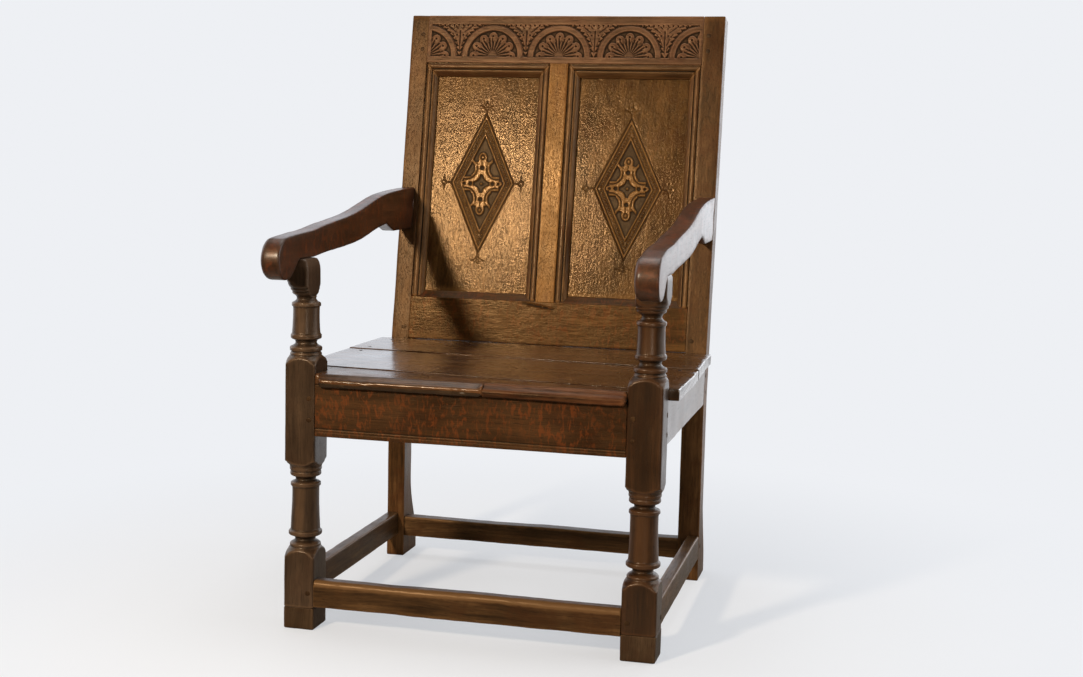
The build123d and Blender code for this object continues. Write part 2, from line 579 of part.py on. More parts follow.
PEGS = {}
for side in SIDES:
    sign = SIDES[side]
    leg_inner, leg_outer = leg_faces(side)
    leg, post = f"front_leg_{side}", f"back_post_{side}"
    x = leg_inner + sign * PEG_INSET
    for height in (SEAT_UNDER - drop for drop in FRONT_RAIL_PEG_DROPS):
        drive("pegs_front_rail", (leg, "seat_rail_front"), along_y(x, height, 0, PEG_LONG, PEG_RADIUS),
              along_y(x, height, 0, PEG_LONG - PEG_GAP, PEG_RADIUS - PEG_GAP))
    drive("pegs_stretchers", (leg, "stretcher_front"),
          along_y(x, STRETCHER_PEG_HEIGHT, 0, PEG_LONG, PEG_RADIUS),
          along_y(x, STRETCHER_PEG_HEIGHT, 0, PEG_LONG - PEG_GAP, PEG_RADIUS - PEG_GAP))
    side_height = SIDE_STRETCHER_FLOOR + SIDE_STRETCHER[1] / 2
    post_outer = post_faces(side)[1]
    bores = [("pegs_side_rails", f"seat_rail_{side}", side_rail_low + SIDE_RAIL_PEG_INSET),
             ("pegs_side_rails", f"seat_rail_{side}", SEAT_UNDER - SIDE_RAIL_PEG_INSET),
             ("pegs_stretchers", f"stretcher_{side}", side_height)]
    for group, rail, height in bores:
        for member, x_out, y in ((leg, leg_outer, LEG_DEEP[side] - PEG_INSET),
                                 (post, post_outer, POST_SETBACK + POST_PEG_INSET)):
            long = SIDE_TENON_CHEEK + PEG_PAST if member == post else PEG_LONG
            hole = along_x(x_out, y, height, -sign * long, PEG_RADIUS)
            peg = along_x(x_out, y, height, -sign * (long - PEG_GAP), PEG_RADIUS - PEG_GAP)
            drive(group, (member, rail), hole, peg)
    x = post_faces(side)[0] + sign * PEG_INSET
    for rail, run in (("crest_rail", BACK_LENGTH - CREST_PEG_DROPS[0]),
                      ("crest_rail", BACK_LENGTH - CREST_PEG_DROPS[1]),
                      ("back_bottom_rail", up_the_back(SEAT_HEIGHT) + BOTTOM_PEG_RISE)):
        drive("pegs_back", (post, rail), BACK_PLANE * along_y(x, run, 0, PEG_LONG, PEG_RADIUS),
              BACK_PLANE * along_y(x, run, 0, PEG_LONG - PEG_GAP, PEG_RADIUS - PEG_GAP))
for group, pegs in PEGS.items():
    parts[group] = Compound(children=pegs)

# ---------------------------------------------------------------- seat nails
nails = []
rail_middle = REAR_WIDTH / 2 - SIDE_RAIL_INSET - RAIL_THICK / 2
for side, sign in SIDES.items():
    x = sign * rail_middle
    for board, y in (("middle", joint_at(JOINT_FRONT, x) + NAIL_FROM_JOINT + 20),
                     ("middle", joint_at(JOINT_BACK, x) - NAIL_FROM_JOINT),
                     ("back", joint_at(JOINT_BACK, x) + NAIL_FROM_JOINT),
                     ("back", POST_SETBACK - NAIL_FROM_JOINT)):
        hole = upright_pin(x, y, SEAT_HEIGHT - NAIL_LONG, SEAT_HEIGHT, NAIL_RADIUS)
        parts[f"seat_board_{board}"] -= hole
        parts[f"seat_rail_{side}"] -= hole
        nails.append(upright_pin(x, y, SEAT_HEIGHT - NAIL_LONG + PEG_GAP, SEAT_HEIGHT + NAIL_PROUD,
                                 NAIL_RADIUS - PEG_GAP))
parts["seat_nails"] = Compound(children=nails)

# ---------------------------------------------------------------- stand it on the origin and write it
outline = Compound(children=[Compound(children=list(p.solids())) for p in parts.values()]).bounding_box()
centre = (outline.min + outline.max) / 2
stand = Pos(-centre.X, -centre.Y, -outline.min.Z)
print("moved by", -centre.X, -centre.Y, -outline.min.Z, "size", outline.size)
os.makedirs("parts", exist_ok=True)
for name, piece in parts.items():
    export_step(stand * Compound(children=list(piece.solids())), f"parts/{name}.step")
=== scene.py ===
import math

import bmesh
import bpy
import numpy as np
from mathutils import Matrix, Vector
from mathutils.geometry import delaunay_2d_cdt


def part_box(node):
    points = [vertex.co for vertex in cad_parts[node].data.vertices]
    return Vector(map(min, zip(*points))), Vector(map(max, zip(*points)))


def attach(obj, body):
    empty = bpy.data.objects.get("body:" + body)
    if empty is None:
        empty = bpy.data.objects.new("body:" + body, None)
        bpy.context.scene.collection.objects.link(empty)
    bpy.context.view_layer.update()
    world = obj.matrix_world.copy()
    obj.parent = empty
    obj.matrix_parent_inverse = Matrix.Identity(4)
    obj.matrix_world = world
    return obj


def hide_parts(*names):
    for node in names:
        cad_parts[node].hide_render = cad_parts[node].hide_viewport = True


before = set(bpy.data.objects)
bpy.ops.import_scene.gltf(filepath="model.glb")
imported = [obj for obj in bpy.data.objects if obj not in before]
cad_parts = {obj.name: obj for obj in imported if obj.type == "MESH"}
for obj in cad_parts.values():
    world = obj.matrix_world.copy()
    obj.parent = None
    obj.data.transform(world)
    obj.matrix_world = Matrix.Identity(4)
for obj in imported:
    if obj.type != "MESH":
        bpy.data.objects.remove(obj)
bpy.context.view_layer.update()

# ------------------------------------------------------------------------------------------------
# Front legs.  Squared oak stock, left square where the rails and stretchers are tenoned in, and
# turned on the lathe in between and above, where each leg runs on as the arm support.  Where the
# turning meets the square it leaves rounded, arched shoulders.  Four centuries of wear soften it.
# ------------------------------------------------------------------------------------------------
MM = 0.001
front_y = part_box("front_leg_left")[0][1]              # front faces of the front legs


def chair(x, y, z):
    """A place in the chair's own millimetres, y from the legs' front faces, z from the floor."""
    return np.stack(np.broadcast_arrays(x * MM, y * MM + front_y, z * MM), axis=-1).astype(float)


def ripple(points, size, seed):
    """Smooth noise from -1 to 1 at points, with waves about size metres long."""
    place = points / size + seed * 17.31
    cell = np.floor(place).astype(np.int64)
    part = place - cell
    part = part * part * (3 - 2 * part)
    total = np.zeros(len(points))
    for corner in range(8):
        step = np.array([corner & 1, corner >> 1 & 1, corner >> 2 & 1])
        x, y, z = (cell + step).T
        # large odd factors scramble a cell's place into a value of its own
        mixed = (x * 73856093) ^ (y * 19349663) ^ (z * 83492791) ^ (seed * 2654435)
        mixed = (mixed ^ (mixed >> 13)) * 1274126177 & 0x7FFFFFFF
        mixed = mixed ^ (mixed >> 16)
        value = (mixed % 20011) / 10005.5 - 1
        total += value * np.prod(np.where(step == 1, part, 1 - part), axis=1)
    return total


def shell(name, rings):
    """Mesh through rings of points, one ring after the other, with the ends closed."""
    count, around, _ = rings.shape
    index = np.arange(count * around).reshape(count, around)
    low, high = index[:-1], index[1:]
    quads = np.stack([low, np.roll(low, -1, 1), np.roll(high, -1, 1), high], axis=-1).reshape(-1, 4)
    ends = [index[0][::-1].tolist(), index[-1].tolist()]
    mesh = bpy.data.meshes.new(name)
    mesh.from_pydata(rings.reshape(-1, 3).tolist(), [], quads.tolist() + ends)
    middle = rings.mean(axis=1, keepdims=True)
    turned_round = np.cross(rings - middle, np.roll(rings, -1, 1) - middle).sum(axis=1)
    ahead = np.gradient(middle[:, 0], axis=0)
    if np.einsum("ij,ij->", turned_round, ahead) < 0:
        mesh.flip_normals()
    mesh.update()
    return mesh


def corners_of(mesh):
    """Vertex places of a mesh as an array."""
    places = np.empty(len(mesh.vertices) * 3)
    mesh.vertices.foreach_get("co", places)
    return places.reshape(-1, 3)


def in_chair(places):
    """x, y and z of places in the chair's own millimetres."""
    return places[:, 0] / MM, (places[:, 1] - front_y) / MM, places[:, 2] / MM


def box_of(node):
    """Low and high corner of a CAD node's box in millimetres."""
    return (np.array(corner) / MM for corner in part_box(node))


def normals_of(mesh):
    """Vertex normals of a mesh as an array."""
    normals = np.empty(len(mesh.vertices) * 3)
    mesh.vertex_normals.foreach_get("vector", normals)
    return normals.reshape(-1, 3)


def move_to(mesh, places):
    """Puts a mesh's vertices at new places."""
    mesh.vertices.foreach_set("co", places.reshape(-1))
    mesh.update()


def soften(mesh, places, rounds):
    """Places after some rounds of moving each vertex halfway to its neighbours' mean."""
    edges = np.empty(len(mesh.edges) * 2, dtype=np.int64)
    mesh.edges.foreach_get("vertices", edges)
    a, b = edges.reshape(-1, 2).T
    count = len(places)
    share = np.maximum(np.bincount(a, minlength=count) + np.bincount(b, minlength=count), 1)
    for _ in range(rounds):
        sums = [np.bincount(a, places[b, k], count) + np.bincount(b, places[a, k], count) for k in range(3)]
        places = (places + np.stack(sums, axis=-1) / share[:, None]) / 2
    return places


def weather(mesh, depth, size, seed):
    """Hand-worked unevenness: long waves with shorter ones on top, depth in millimetres."""
    places = corners_of(mesh)
    swell = ripple(places, size, seed) + 0.5 * ripple(places, size / 2.7, seed + 1)
    swell += 0.25 * ripple(places, size / 8, seed + 2)
    places = places + normals_of(mesh) * (swell * depth * MM)[:, None]
    places[:, 2] = np.maximum(places[:, 2], 0)
    move_to(mesh, places)


def note_relief(mesh, rounds):
    """Stores how far each vertex stands proud of its surroundings, in mm, for wear, dust in the hollows, and
    painted highlights and shade.
    """
    places = corners_of(mesh)
    proud = np.einsum("ij,ij->i", places - soften(mesh, places, rounds), normals_of(mesh)) / MM
    layer = mesh.attributes.new("relief", "FLOAT", "POINT")
    layer.data.foreach_set("value", np.clip(proud, -2, 2))


def fit(mesh, nodes, material):
    """Hangs a finished mesh on the chair in place of its CAD nodes."""
    piece = bpy.data.objects.new(mesh.name, mesh)
    bpy.context.scene.collection.objects.link(piece)
    mesh.materials.append(material)
    mesh.polygons.foreach_set("use_smooth", [True] * len(mesh.polygons))
    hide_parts(*nodes)
    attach(piece, "root")


def wear_and_fit(mesh, nodes, material, wear, rounds):
    """Gives a mesh its unevenness (depth, wave size, seed), notes its relief and fits it."""
    weather(mesh, *wear)
    note_relief(mesh, rounds)
    fit(mesh, nodes, material)


def add_node(tree, kind, **values):
    """New node in a tree, with its sockets or settings of those names set."""
    made = tree.nodes.new(kind)
    for name, value in values.items():
        if name in made.inputs:
            made.inputs[name].default_value = value
        else:
            setattr(made, name, value)
    return made


def blend(tree, amount, first, second):
    """Colour that goes from the first to the second as amount goes from 0 to 1."""
    made = add_node(tree, "ShaderNodeMix", data_type="RGBA")
    tree.links.new(amount, made.inputs[0])
    for socket, value in ((made.inputs[6], first), (made.inputs[7], second)):
        if isinstance(value, tuple):
            socket.default_value = (*value, 1)
        else:
            tree.links.new(value, socket)
    return made.outputs[2]


def lighter(colour, times):
    """A colour made lighter or darker, at most white."""
    return tuple(min(1, part * times) for part in colour)


GRIME = (0.009, 0.0055, 0.003)                        # old wax and dust in the hollows
# grime and painted shade in corners and where parts meet
CORNER_GRIME_AND_SHADE = (0.011, 0.0068, 0.0038)
SUNKEN_GROUND = (0.024, 0.0172, 0.0115)               # the carving's ground, darker the deeper it is cut
PALE_FLECK = (0.17, 0.036, 0.0075)


def old_oak(name, pale, middle, dark, along="Z", seed=0.0, gloss=0.34, shine=0.3, shine_tint=0.4,
            wax=0.0, wax_dull=0.3, dusty=0.12, bumpy=0.3, waves=0.6, fibres=0.0, mottle=0.4,
            streaks=1.0, stained=1.0, fleck=0.0, fleck_colour=PALE_FLECK, grime_and_shade=1.0, wear_and_highlight=1.0,
            sinking=0.85):
    """Waxed old oak: grain and pores along one axis, clouds, old wax and dust in the hollows, dust and
    painted shade in the corners, edges lightened by wear and as painted highlights.
    """
    material = bpy.data.materials.new(name)
    material.use_nodes = True
    tree = material.node_tree
    tree.nodes.clear()
    link = tree.links.new

    def node(kind, **values):
        return add_node(tree, kind, **values)

    def noise(vector, scale, detail=3.0, roughness=0.55, distortion=0.0):
        made = node("ShaderNodeTexNoise", Scale=scale, Detail=detail, Roughness=roughness,
                    Distortion=distortion)
        link(vector, made.inputs["Vector"])
        return made.outputs["Fac"]

    def stretch(vector, lengthwise, across=1.0):
        made = node("ShaderNodeVectorMath", operation="MULTIPLY")
        made.inputs[1].default_value = [lengthwise if axis == along else across for axis in "XYZ"]
        link(vector, made.inputs[0])
        return made.outputs[0]

    def math_of(operation, first, second):
        made = node("ShaderNodeMath", operation=operation)
        for socket, value in zip(made.inputs, (first, second)):
            if isinstance(value, (int, float)):
                socket.default_value = value
            else:
                link(value, socket)
        return made.outputs[0]

    def layered(base, *layers):
        for value, share in layers:
            base = math_of("ADD", base, math_of("MULTIPLY", value, share))
        return base

    def between(value, low, high):
        made = node("ShaderNodeMapRange")
        made.inputs["From Min"].default_value = low
        made.inputs["From Max"].default_value = high
        link(value, made.inputs["Value"])
        return made.outputs["Result"]

    def painted(under, over, mask, share):
        return blend(tree, math_of("MULTIPLY", mask, share), under, over)

    # place on the piece, shifted so that no two oaks look alike, and bent so that no grain is straight
    shift = node("ShaderNodeVectorMath", operation="ADD")
    shift.inputs[1].default_value = (seed * 1.7, seed * 0.9, seed * 1.3)
    link(node("ShaderNodeTexCoord").outputs["Object"], shift.inputs[0])
    place = shift.outputs[0]
    wander = node("ShaderNodeTexNoise", Scale=4.0, Detail=2.0)
    link(place, wander.inputs["Vector"])
    bending = node("ShaderNodeVectorMath", operation="MULTIPLY_ADD")
    bending.inputs[1].default_value = (0.02, 0.02, 0.02)
    link(wander.outputs["Color"], bending.inputs[0])
    link(place, bending.inputs[2])
    bent = bending.outputs[0]

    # the wood: broad figure, fine grain, clouds of colour, stains, open pores and ray fleck
    figure = noise(stretch(bent, 0.07), 42.0)
    grain = noise(stretch(bent, 0.05), 210.0, 5.0, 0.65)
    clouds = noise(place, 7.0, 4.0, 0.6)
    tone = layered(0.0, (figure, 0.38), (grain, 0.34), (clouds, 0.28))
    band = 0.097 / streaks
    colour = blend(tree, between(tone, 0.503, 0.503 + band),
                   blend(tree, between(tone, 0.497 - band, 0.497), dark, middle), pale)
    stain = between(noise(place, 13.0, 4.0, 0.65), 0.5, 0.62)
    stain_colour = (middle[0] * 0.8, middle[1] * 0.56, middle[2] * 0.5)
    colour = painted(colour, stain_colour, stain, 0.5 * stained)
    pore = between(noise(stretch(bent, 0.035), 900.0, 2.0, 0.5), 0.57, 0.66)
    colour = painted(colour, lighter(dark, 0.35), pore, 0.55)
    if fleck:
        rays = between(noise(stretch(bent, 1.0, 0.42), 150.0, 2.0, 0.6, 0.7), 0.50, 0.64)
        zone = between(noise(place, 9.0, 2.0, 0.5), 0.30, 0.54)
        colour = painted(colour, fleck_colour, math_of("MULTIPLY", rays, zone), fleck)

    # its age and painted light: rubbed arrises lightened further as painted highlights, grime in the hollows,
    # grime and painted shade in the corners, and the carving's sunken ground
    relief = node("ShaderNodeAttribute", attribute_name="relief").outputs["Fac"]
    proud = layered(relief, (math_of("SUBTRACT", grain, 0.5), 0.5))
    # proud edges lighter: wear, and also painted highlights where edges catch the light
    colour = painted(colour, lighter(pale, 1.35), between(proud, 0.1, 0.6), 0.5 * wear_and_highlight)
    colour = painted(colour, GRIME, between(proud, -0.06, -0.5), 0.85 * grime_and_shade)
    # painted shade: darker wherever ambient occlusion finds other surfaces close, in corners and between
    # parts, together with the grime there
    corners = node("ShaderNodeAmbientOcclusion", samples=4, Distance=0.011).outputs["AO"]
    colour = painted(colour, CORNER_GRIME_AND_SHADE, between(corners, 0.8, 0.3), 0.55 * grime_and_shade)
    sunk = node("ShaderNodeAttribute", attribute_name="sunk").outputs["Fac"]
    ground = between(sunk, 0.7, 2.4)
    colour = painted(colour, SUNKEN_GROUND, ground, sinking)
    colour = painted(colour, lighter(pale, 1.5), between(sunk, -0.2, -1.0), 0.85)

    # its surface: duller where it is dusty, open or sunk, and uneven to the touch
    rough = layered(gloss, (between(clouds, 0.4, 0.65), dusty), (pore, dusty),
                    (between(relief, -0.05, -0.5), 0.25), (ground, 0.22))
    height = layered(0.0, (grain, 0.45), (pore, -0.3), (noise(stretch(bent, 0.45), 110.0, 2.0), waves),
                     (noise(place, 260.0), mottle))
    if fibres:
        height = layered(height, (noise(stretch(bent, 0.03), 520.0, 2.0), fibres))
    bump = node("ShaderNodeBump", Strength=bumpy, Distance=0.0012)
    link(height, bump.inputs["Height"])
    shader = node("ShaderNodeBsdfPrincipled")
    link(colour, shader.inputs["Base Color"])
    link(rough, shader.inputs["Roughness"])
    link(bump.outputs["Normal"], shader.inputs["Normal"])
    shader.inputs["Specular IOR Level"].default_value = shine
    shader.inputs["Specular Tint"].default_value = (1.0, 0.46 + 0.55 * shine_tint, shine_tint, 1)
    shader.inputs["Coat Weight"].default_value = wax
    shader.inputs["Coat Roughness"].default_value = wax_dull
    link(shader.outputs[0], node("ShaderNodeOutputMaterial").inputs["Surface"])
    return material


def turning(foot, low, high, knob, top, corner):
    """A leg's turned outline as stations of height, radius, and bulge of the curve up to them.

    foot is the top of the foot's square, low and high are the ends of the seat's square, knob is
    the neck under the arm, and corner is the half diagonal of the squares.
    """
    return [
        # shoulder of the foot's square, then ring, neck and foot of the column
        (foot - 10, corner + 3, 0), (foot - 7, corner, 0), (foot + 3, 35.5, 1.2), (foot + 11, 28.5, 1.2),
        (foot + 14, 26.2, 0.2),
        (foot + 15.5, 25.4, 0), (foot + 20.5, 24.6, 0.9), (foot + 22, 22.5, 0), (foot + 28, 17.2, -2.2),
        (foot + 32.5, 21.5, -1.2), (foot + 33.5, 25.4, 0), (foot + 38, 27.4, 1.4), (foot + 42.5, 25.6, 1.4),
        (foot + 43.8, 24.6, 0),
        # head of the column, neck, ring and shoulder under the seat's square
        (low - 52, 22.7, -0.6), (low - 47.5, 22.9, 0), (low - 46.6, 24.0, 0), (low - 42.8, 24.9, 1.0),
        (low - 39.4, 23.8, 0.9), (low - 38.4, 20.8, 0), (low - 34, 17.0, -1.6), (low - 29.6, 20.6, -1.2),
        (low - 28.6, 23.8, 0), (low - 24, 25.6, 1.0), (low - 20.5, 24.6, 0.6), (low - 19.6, 25.3, 0),
        (low - 14, 26.4, 0.8), (low - 9, 28.4, -0.6), (low - 4, 33, 1.0), (low + 2, corner + 1, 1.0),
        (low + 8, corner + 8, 0),
        # shoulder over the seat's square, ring and foot of the arm's column
        (high - 11, corner + 3, 0), (high - 8, corner, 0), (high + 2, 35.5, 1.2), (high + 9, 29.0, 1.2),
        (high + 11.6, 26.6, 0.2),
        (high + 12.2, 25.6, 0), (high + 17, 24.9, 0.9), (high + 18.2, 23.8, 0), (high + 22.5, 25.7, 1.0),
        (high + 27, 24.2, 1.0), (high + 28.2, 21.0, 0), (high + 35, 17.2, -1.8), (high + 38, 19.4, -0.6),
        (high + 39, 22.6, 0), (high + 43.5, 24.5, 1.2), (high + 48, 23.2, 1.0), (high + 49, 22.7, 0),
        # head of the arm's column, neck and the rings that widen to the knob
        (knob - 18, 21.2, -0.5), (knob - 14.5, 21.3, 0), (knob - 13.6, 22.2, 0), (knob - 9.8, 22.9, 0.9),
        (knob - 6.6, 21.8, 0.8), (knob - 5.6, 19.4, 0), (knob, 16.4, -1.3), (knob + 5, 19.6, -1.0),
        (knob + 6, 21.4, 0), (knob + 10.5, 24.6, 1.0), (knob + 11.3, 23.8, 0), (knob + 15.8, 27.6, 1.0),
        (knob + 16.6, 26.8, 0), (knob + 26, 33.0, 1.2), (knob + 40, corner, 1.0),
        (top, corner + 4, 0),
    ]


def radius_at(stations, heights):
    """Radius of a turning at each height."""
    radii = np.zeros_like(heights)
    for (z0, r0, _), (z1, r1, bulge) in zip(stations, stations[1:]):
        inside = (heights >= z0) & (heights <= z1)
        share = (heights[inside] - z0) / (z1 - z0)
        radii[inside] = r0 + (r1 - r0) * share + bulge * 4 * share * (1 - share)
    return radii


def step_up(value, start, end):
    """Smooth step from 0 at start to 1 at end."""
    share = np.clip((value - start) / (end - start), 0, 1)
    return share * share * (3 - 2 * share)


def arris_angles(half_x, half_y, knob_right, knob_left):
    """Angles round a leg, close together at the arrises of its square and of its knob."""
    offsets = np.array([0.0, 1.0, 2.0, 3.2, 4.6, 6.6, 9.5, 14, 20, 28, 37])
    corner = math.degrees(math.atan2(half_y, half_x))
    turn = []
    for middle in (corner, 180 - corner, 180 + corner, 360 - corner):
        turn += (middle - offsets[1:][::-1]).tolist() + (middle + offsets).tolist()
    right, left = (math.degrees(math.atan2(half_y, half)) for half in (knob_right, knob_left))
    for middle in (right, 180 - left, 180 + left, 360 - right):
        turn += [middle - 5, middle - 2.2, middle, middle + 2.2, middle + 5]
    turn = np.sort(np.mod(turn, 360))
    keep = np.concatenate([[True], np.diff(turn) > 0.7])
    return np.radians(turn[keep])


# heights of the foot's square (foot), the seat's square (low, high), the neck under the knob and the
# knob's top; x of the knob's faces; its easing inwards and down; how far the arm's column is off centre
LEG_SHAPES = {
    "left": dict(foot=123.5, low=287.5, high=450.0, knob=557.0, top=623.0, faces=(-317.0, -277.2),
                 ease=(9.0, 24.0), off_centre=-1.0),
    "right": dict(foot=117.5, low=284.0, high=446.0, knob=553.0, top=620.0, faces=(266.5, 317.0),
                  ease=(3.0, 9.0), off_centre=1.8),
}
leg_oak = {
    "left": old_oak("old_oak_leg_left", (0.1, 0.057, 0.031), (0.053, 0.0305, 0.0172),
                    (0.023, 0.0132, 0.0078), seed=1.0, wax=0.25, streaks=0.6, stained=0.5),
    "right": old_oak("old_oak_leg_right", (0.074, 0.031, 0.0118), (0.0355, 0.0152, 0.0056),
                     (0.0155, 0.0069, 0.003), seed=1.5, gloss=0.32, wax=0.3, streaks=0.6, stained=0.7),
}
FINE_STEP = 1.1                                       # between stations in the turned profiles
PAST_SQUARE = 8.0                                     # turned radius over the squares, clear of them
KNOB_EASE_DEEP, KNOB_EASE_HIGH = 5.0, 10.0            # rounding of the knob's front and back
TIP_JOINT_EASE = 1.6                                  # chamfer at the joint with the foot tip
SQUARENESS = 15.0                                     # power of the rounded square's outline
ARM_COLUMN_MORE = 0.8                                 # the arm's column is stouter by this
TURNING_TIGHT = 2.6                                   # how sharp square and turning meet
for side, shape in LEG_SHAPES.items():
    low_corner, high_corner = box_of(f"front_leg_{side}")
    tip_top = low_corner[2]
    half_x, half_y = (high_corner[0] - low_corner[0]) / 2, (high_corner[1] - low_corner[1]) / 2
    middle_x = (high_corner[0] + low_corner[0]) / 2
    foot, low, high, knob, top = (shape[k] for k in ("foot", "low", "high", "knob", "top"))
    knob_right, knob_left = shape["faces"][1] - middle_x, middle_x - shape["faces"][0]
    heights = np.concatenate([
        [tip_top, tip_top + 0.6, tip_top + 1.6], np.arange(tip_top + 5, foot - 14, 6.0),
        np.arange(foot - 12, foot + 46, FINE_STEP), np.arange(foot + 46, low - 54, 5.0),
        np.arange(low - 54, low + 8, FINE_STEP), np.arange(low + 10, high - 14, 7.0),
        np.arange(high - 13, high + 50, FINE_STEP), np.arange(high + 50, knob - 20, 5.0),
        np.arange(knob - 20, knob + 42, FINE_STEP), np.arange(knob + 44, top - 5, 3.0),
        [top - 4, top - 2.5, top - 1.2, top - 0.3, top]])
    corner = math.hypot(half_x, half_y)
    radii = radius_at(turning(foot, low, high, knob, top, corner), heights)
    radii[(heights > high + 20) & (heights < knob - 2)] += ARM_COLUMN_MORE
    radii[heights < foot - 9] = corner + PAST_SQUARE
    radii[(heights > low + 7) & (heights < high - 10)] = corner + PAST_SQUARE
    around, up = np.meshgrid(arris_angles(half_x, half_y, knob_right, knob_left), heights)

    # the square at each height: the stock's below, the narrower knob's above, eased at the top
    knob_side = np.where(np.cos(around) > 0, knob_right, knob_left)
    size_x = half_x + (knob_side - half_x) * np.clip((up - knob) / 4, 0, 1)
    inwards, over = shape["ease"]
    leaning = np.clip((up - top + over) / over, 0, 1)
    size_x = size_x - inwards * (1 - np.sqrt(1 - leaning ** 2))
    leaning = np.clip((up - top + KNOB_EASE_HIGH) / KNOB_EASE_HIGH, 0, 1)
    size_y = half_y - KNOB_EASE_DEEP * (1 - np.sqrt(1 - leaning ** 2))
    edge_in = np.clip(TIP_JOINT_EASE - (up - tip_top), 0, TIP_JOINT_EASE) * 0.5
    square = ((np.abs(np.cos(around)) / (size_x - edge_in)) ** SQUARENESS
              + (np.abs(np.sin(around)) / (size_y - edge_in)) ** SQUARENESS) ** (-1 / SQUARENESS)

    # whichever is smaller, square or turning, with a softened meeting of both
    turned = np.broadcast_to(radii[:, None], square.shape)
    radius = -np.logaddexp(-turned * TURNING_TIGHT, -square * TURNING_TIGHT) / TURNING_TIGHT
    off_centre = shape["off_centre"] * step_up(up, high + 2, high + 14) * (1 - step_up(up, knob, knob + 12))
    rings = chair(middle_x + off_centre + radius * np.cos(around), half_y + radius * np.sin(around), up)
    wear_and_fit(shell(f"front_leg_{side}_turned", rings), [f"front_leg_{side}"],
                 leg_oak[side], wear=(0.32, 0.045, 3 if side == "left" else 4), rounds=10)


# ------------------------------------------------------------------------------------------------
# Foot tips.  Both front feet rotted and were sawn off; square oak ends, a little lighter and
# cleaner, are doweled on below them.  Their joint shows as a dark line round the foot.
# ------------------------------------------------------------------------------------------------
CLOSE_END = 0.9                                       # last station before a square end


def bar(name, along, stations, sides, corner=1.5, spacing=(6.0, 6.0), ends=(0.0, 0.0), place=None,
        arc=3):
    """Squared timber that runs along an axis: sides gives (a0, a1, b0, b1) at each station.

    a and b are the other two axes in x, y, z order, corner holds one radius or one for each of
    the four corners a0b0, a1b0, a1b1, a0b1, or finds them from the stations, spacing is that of
    the vertices along a and b, and ends are the roundings of its two ends.
    """
    t = np.asarray(stations, dtype=float)
    for at_start, size in ((True, ends[0]), (False, ends[1])):
        if size:
            steps = size * np.array([0.0, 0.06, 0.22, 0.5, 0.9])
            from_end = t - t[0] if at_start else t[-1] - t
            extra = t[0] + steps if at_start else t[-1] - steps
            t = np.unique(np.concatenate([t[(from_end > size) | (from_end == 0)], extra]))
        else:
            t = np.unique(np.append(t, t[0] + CLOSE_END if at_start else t[-1] - CLOSE_END))
    a0, a1, b0, b1 = (np.broadcast_to(v, t.shape).astype(float) for v in sides(t))
    inset = np.zeros_like(t)
    for size, away in ((ends[0], t - t[0]), (ends[1], t[-1] - t)):
        if size:
            near = np.clip(size - away, 0, size)
            inset = np.maximum(inset, size - np.sqrt(np.maximum(size ** 2 - near ** 2, 0)))
    radii = corner(t) if callable(corner) else np.broadcast_to(corner, (4,))
    radii = [np.broadcast_to(r, t.shape) for r in radii]
    limit = 0.49 * np.minimum(a1 - a0, b1 - b0)
    centres = [(a0, b0, 1, 1), (a1, b0, -1, 1), (a1, b1, -1, -1), (a0, b1, 1, -1)]
    steps = [max(2, round(float(np.max(size)) / gap)) for size, gap in zip((a1 - a0, b1 - b0), spacing)]
    arcs = []
    for k, (a, b, sa, sb) in enumerate(centres):
        r = np.clip(np.minimum(radii[k] + inset * 0.5, limit), 0.05, None)
        for turn in np.linspace(180 + 90 * k, 270 + 90 * k, arc + 1):
            way = math.radians(turn)
            arcs.append((a + sa * (inset + r) + r * math.cos(way),
                         b + sb * (inset + r) + r * math.sin(way)))
    around = []
    for k in range(4):
        around += arcs[k * (arc + 1):(k + 1) * (arc + 1)]
        last, following = around[-1], arcs[(k + 1) % 4 * (arc + 1)]
        for i in range(1, steps[k % 2]):
            share = i / steps[k % 2]
            around.append(tuple(p + (q - p) * share for p, q in zip(last, following)))
    a = np.stack([p for p, _ in around], axis=1)
    b = np.stack([q for _, q in around], axis=1)
    along_t = np.broadcast_to(t[:, None], a.shape)
    if place is None:
        orders = {"X": (along_t, a, b), "Y": (a, along_t, b), "Z": (a, b, along_t)}
        x, y, z = orders[along]
    else:
        x, y, z = place(along_t, a, b)
    return shell(name, chair(x, y, z))


tip_oak = old_oak("old_oak_tips", (0.097, 0.056, 0.0305), (0.056, 0.0325, 0.0176),
                  (0.026, 0.015, 0.0084), seed=2.0, gloss=0.4, wear_and_highlight=0.7, streaks=0.6)
for side in LEG_SHAPES:
    tip_low, tip_high = box_of(f"front_foot_tip_{side}")
    leg_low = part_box(f"front_leg_{side}")[0][2] / MM
    mesh = bar(f"front_foot_tip_{side}_block", "Z", [*np.arange(0, leg_low - 1, 5.0), leg_low - 0.3],
               lambda t: (tip_low[0] + 0.2, tip_high[0] - 0.2, 0.3, tip_high[1] - tip_low[1] - 0.3),
               corner=2.0, ends=(2.2, 0.8))
    wear_and_fit(mesh, [f"front_foot_tip_{side}"], tip_oak, wear=(0.35, 0.04, 7), rounds=4)


# ------------------------------------------------------------------------------------------------
# Back posts.  Sawn oak, upright below the seat with the heel kicked back, and raked above it to
# carry the panelled back.  The front faces are planed, the tops left square and a little broken.
# ------------------------------------------------------------------------------------------------
RAKE = math.radians(9.45)
BEND = 366.0                                          # height of the bend
SETBACK = 512.0                                       # posts' front face below it
BEND_SOFT = 12.0                                      # the bend is eased over this much above and below


def raked(x, depth, run):
    """Place from the back's own plane: depth behind its face, run up along it from the bend."""
    return (x, SETBACK + run * math.sin(RAKE) + depth * math.cos(RAKE),
            BEND + run * math.cos(RAKE) - depth * math.sin(RAKE))


def run_at(z, depth=0.0):
    """Run up the raked plane at which it is at a height."""
    return (z - BEND + depth * math.sin(RAKE)) / math.cos(RAKE)


